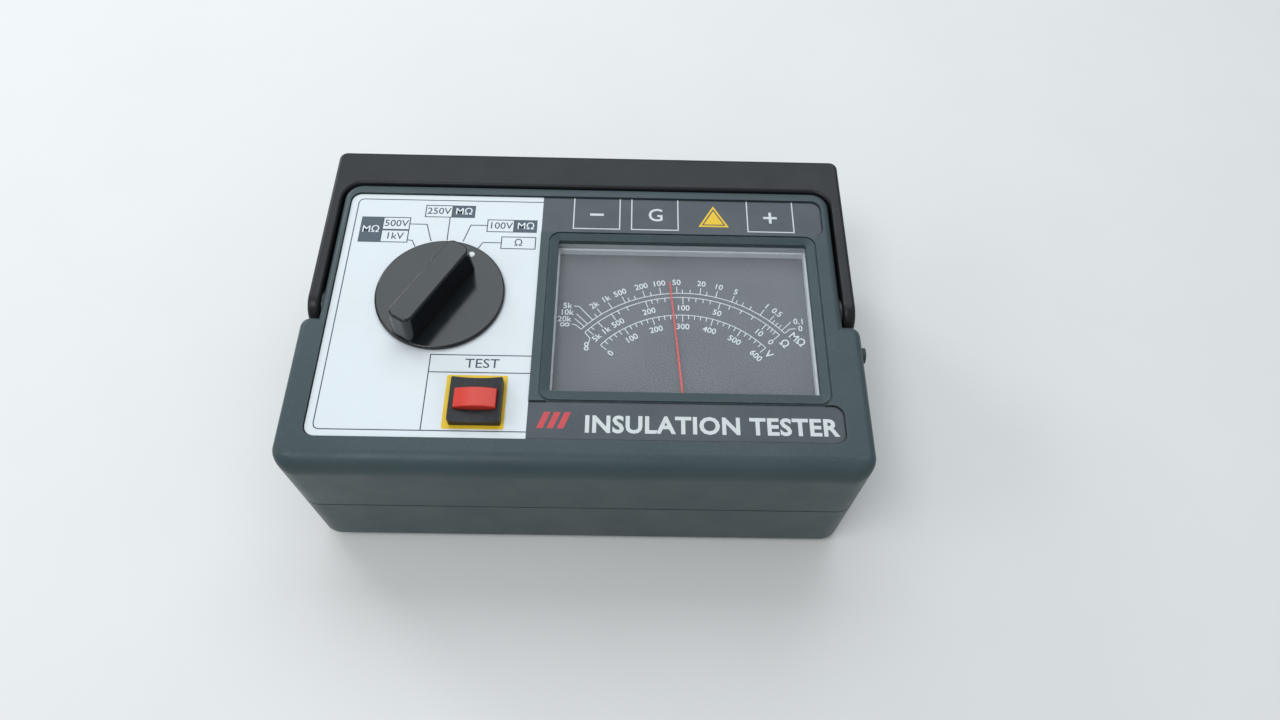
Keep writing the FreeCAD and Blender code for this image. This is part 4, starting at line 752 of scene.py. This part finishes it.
def print_dial():
    """Three scales with their numbers: resistance outside and inside, voltage below."""
    dial = Print("dial_print", DIAL_INK, dial_top)
    thin = 0.34
    long_tick, short_tick = 3.1, 1.7
    digit, digit_bold = 2.55, 0.05
    infinity_cap = digit * 1.25

    def tick(radius, degrees_right, length):
        dial.line([polar(radius, degrees_right), polar(radius + length, degrees_right)], thin)

    def label(words, radius, degrees_right):
        spot = polar(radius, degrees_right)
        dial.text(words, *spot, digit, turn=degrees_right, bold=digit_bold)

    dial.line(arc_points(MEGOHM_RADIUS, -FULL_SCALE, FULL_SCALE + 0.2), thin)
    dial.line(arc_points(OHM_RADIUS, -FULL_SCALE, FULL_SCALE - 0.7), thin)
    dial.line(arc_points(VOLT_RADIUS, -FULL_SCALE, FULL_SCALE), thin)
    edge = thin / 2 - 0.02

    for words, angle in MEGOHM_MARKS.items():
        tick(MEGOHM_RADIUS + edge, angle, long_tick)
        label(words, MEGOHM_RADIUS + 5.3, angle)
    for angle in MEGOHM_SMALL:
        tick(MEGOHM_RADIUS + edge, angle, short_tick)
    for words, (angle, reach, knee, spot) in MEGOHM_LEADERS.items():
        route = [polar(MEGOHM_RADIUS + edge, angle), polar(MEGOHM_RADIUS + reach, angle)]
        dial.line(route + ([Vector(knee)] if knee else []), thin)
        dial.text(words, *spot, infinity_cap if words == "∞" else digit, bold=digit_bold)
    dial.text("MΩ", *polar(MEGOHM_RADIUS + 1.9, 53.9), 3.2, turn=45, bold=0.08)

    for words, angle in OHM_MARKS.items():
        tick(OHM_RADIUS - edge, angle, -long_tick)
        label(words, OHM_RADIUS - 5.2, angle)
    for angle in OHM_SMALL:
        tick(OHM_RADIUS - edge, angle, -short_tick)
    knee, foot = polar(OHM_RADIUS - 3.4, -49.0), polar(OHM_RADIUS - 4.4, -51.2)
    dial.line([polar(OHM_RADIUS - edge, -FULL_SCALE), knee, foot], thin)
    dial.text("∞", *polar(OHM_RADIUS - 4.7, -53.4), infinity_cap, turn=90, bold=digit_bold)
    dial.text("Ω", *polar(OHM_RADIUS - 1.4, 52.2), 3.2, turn=50, bold=0.08)

    divisions, volts_each = 30, 20
    for n in range(divisions + 1):
        angle = -FULL_SCALE + 2 * FULL_SCALE * n / divisions
        whole_hundred = n * volts_each % 100 == 0
        tick(VOLT_RADIUS - edge, angle, -long_tick if whole_hundred else -short_tick)
        if whole_hundred:
            label(str(n * volts_each), VOLT_RADIUS - 5.6, angle)
    dial.text("V", *polar(VOLT_RADIUS - 1.2, 52.2), 3.0, turn=50, bold=0.08)
    dial.finish(slot="dial_grey")


def line_window():
    """The light wall inside the meter's cover, seen as a bright line at the window's sides."""
    wall = 0.8
    room = 0.3
    cover_low, cover_high = box_mm("meter_cover")
    cover_wall, cover_roof = 1.8, 1.5
    inset = cover_wall + wall / 2 + 0.02
    left, right, back = cover_low.x + inset, cover_high.x - inset, cover_high.y - inset
    tall = cover_high.z - cover_roof - dial_top - room
    lining = Print("window_lining", LINING, dial_top + room / 2, tall)
    lining.line([(left, land_front), (left, back), (right, back), (right, land_front)], wall)
    lining.finish(slot="meter_white")


print_dial()
line_window()


# ---------------------------------------------------------------- stage, light and camera

def make_stage():
    """A pale round floor, large enough to meet the horizon in every view."""
    mesh = bpy.data.meshes.new("floor")
    shape = bmesh.new()
    bmesh.ops.create_circle(shape, cap_ends=True, segments=64, radius=14.0)
    shape.to_mesh(mesh)
    shape.free()
    paint = Paint("floor_paper", (0.80, 0.79, 0.775), 0.85)
    paint.mottle((0.77, 0.76, 0.745), 60, 0.5)
    paint.bump(paint.noise(1.5, 3.0), 0.02)
    mesh.materials.append(paint.done())
    floor = collection_link(bpy.data.objects.new("floor", mesh))


def area_light(name, place, aim, size, power, colour):
    """A rectangular light at a place in metres, facing aim. size is its width and height."""
    lamp = bpy.data.lights.new(name, "AREA")
    lamp.shape = "RECTANGLE"
    lamp.size, lamp.size_y = size
    lamp.energy = power
    lamp.color = colour
    light = collection_link(bpy.data.objects.new(name, lamp))
    light.location = place
    light.rotation_euler = (Vector(aim) - Vector(place)).to_track_quat("-Z", "Y").to_euler()


def light_stage():
    """A large softbox behind and above, whose reflection fills the panel, and weaker fills."""
    low_aim, blue_white, cool_white = (0, 0, 0.05), (0.86, 0.95, 1.0), (0.92, 0.97, 1.0)
    area_light("back_softbox", (0.0, 0.72, 1.15), low_aim, (1.2, 0.85), 7.2, blue_white)
    area_light("overhead_light", (-0.4, -0.38, 1.2), (0, 0, 0), (0.45, 0.3), 3.8, (0.95, 0.98, 1.0))
    area_light("left_light", (-1.2, -0.2, 0.7), low_aim, (0.6, 0.8), 2.6, cool_white)
    area_light("window_light", (-1.15, 1.1, 0.75), low_aim, (0.5, 0.5), 6.0, cool_white)
    world = bpy.data.worlds.new("soft_world")
    world.use_nodes = True
    background = world.node_tree.nodes["Background"]
    background.inputs["Color"].default_value = (0.90, 0.955, 1.0, 1)
    background.inputs["Strength"].default_value = 0.49
    bpy.context.scene.world = world


def make_camera():
    """The photograph's view: from the front, well above, turned and tilted a little."""
    lens = bpy.data.cameras.new("camera")
    lens.sensor_width = 36.0
    lens.lens = 25.18
    lens.clip_start = 0.01
    camera = collection_link(bpy.data.objects.new("camera", lens))
    place = Matrix.Translation((0.0178, -0.1987, 0.3728))
    down, swing, tilt = radians(60.28), radians(-1.76), radians(2.53)
    turn = (Matrix.Rotation(swing, 4, "Z") @ Matrix.Rotation(pi / 2 - down, 4, "X")
            @ Matrix.Rotation(tilt, 4, "Z"))
    camera.matrix_world = place @ turn
    bpy.context.scene.camera = camera


make_stage()
light_stage()
make_camera()
bpy.context.scene.view_settings.view_transform = "Standard"
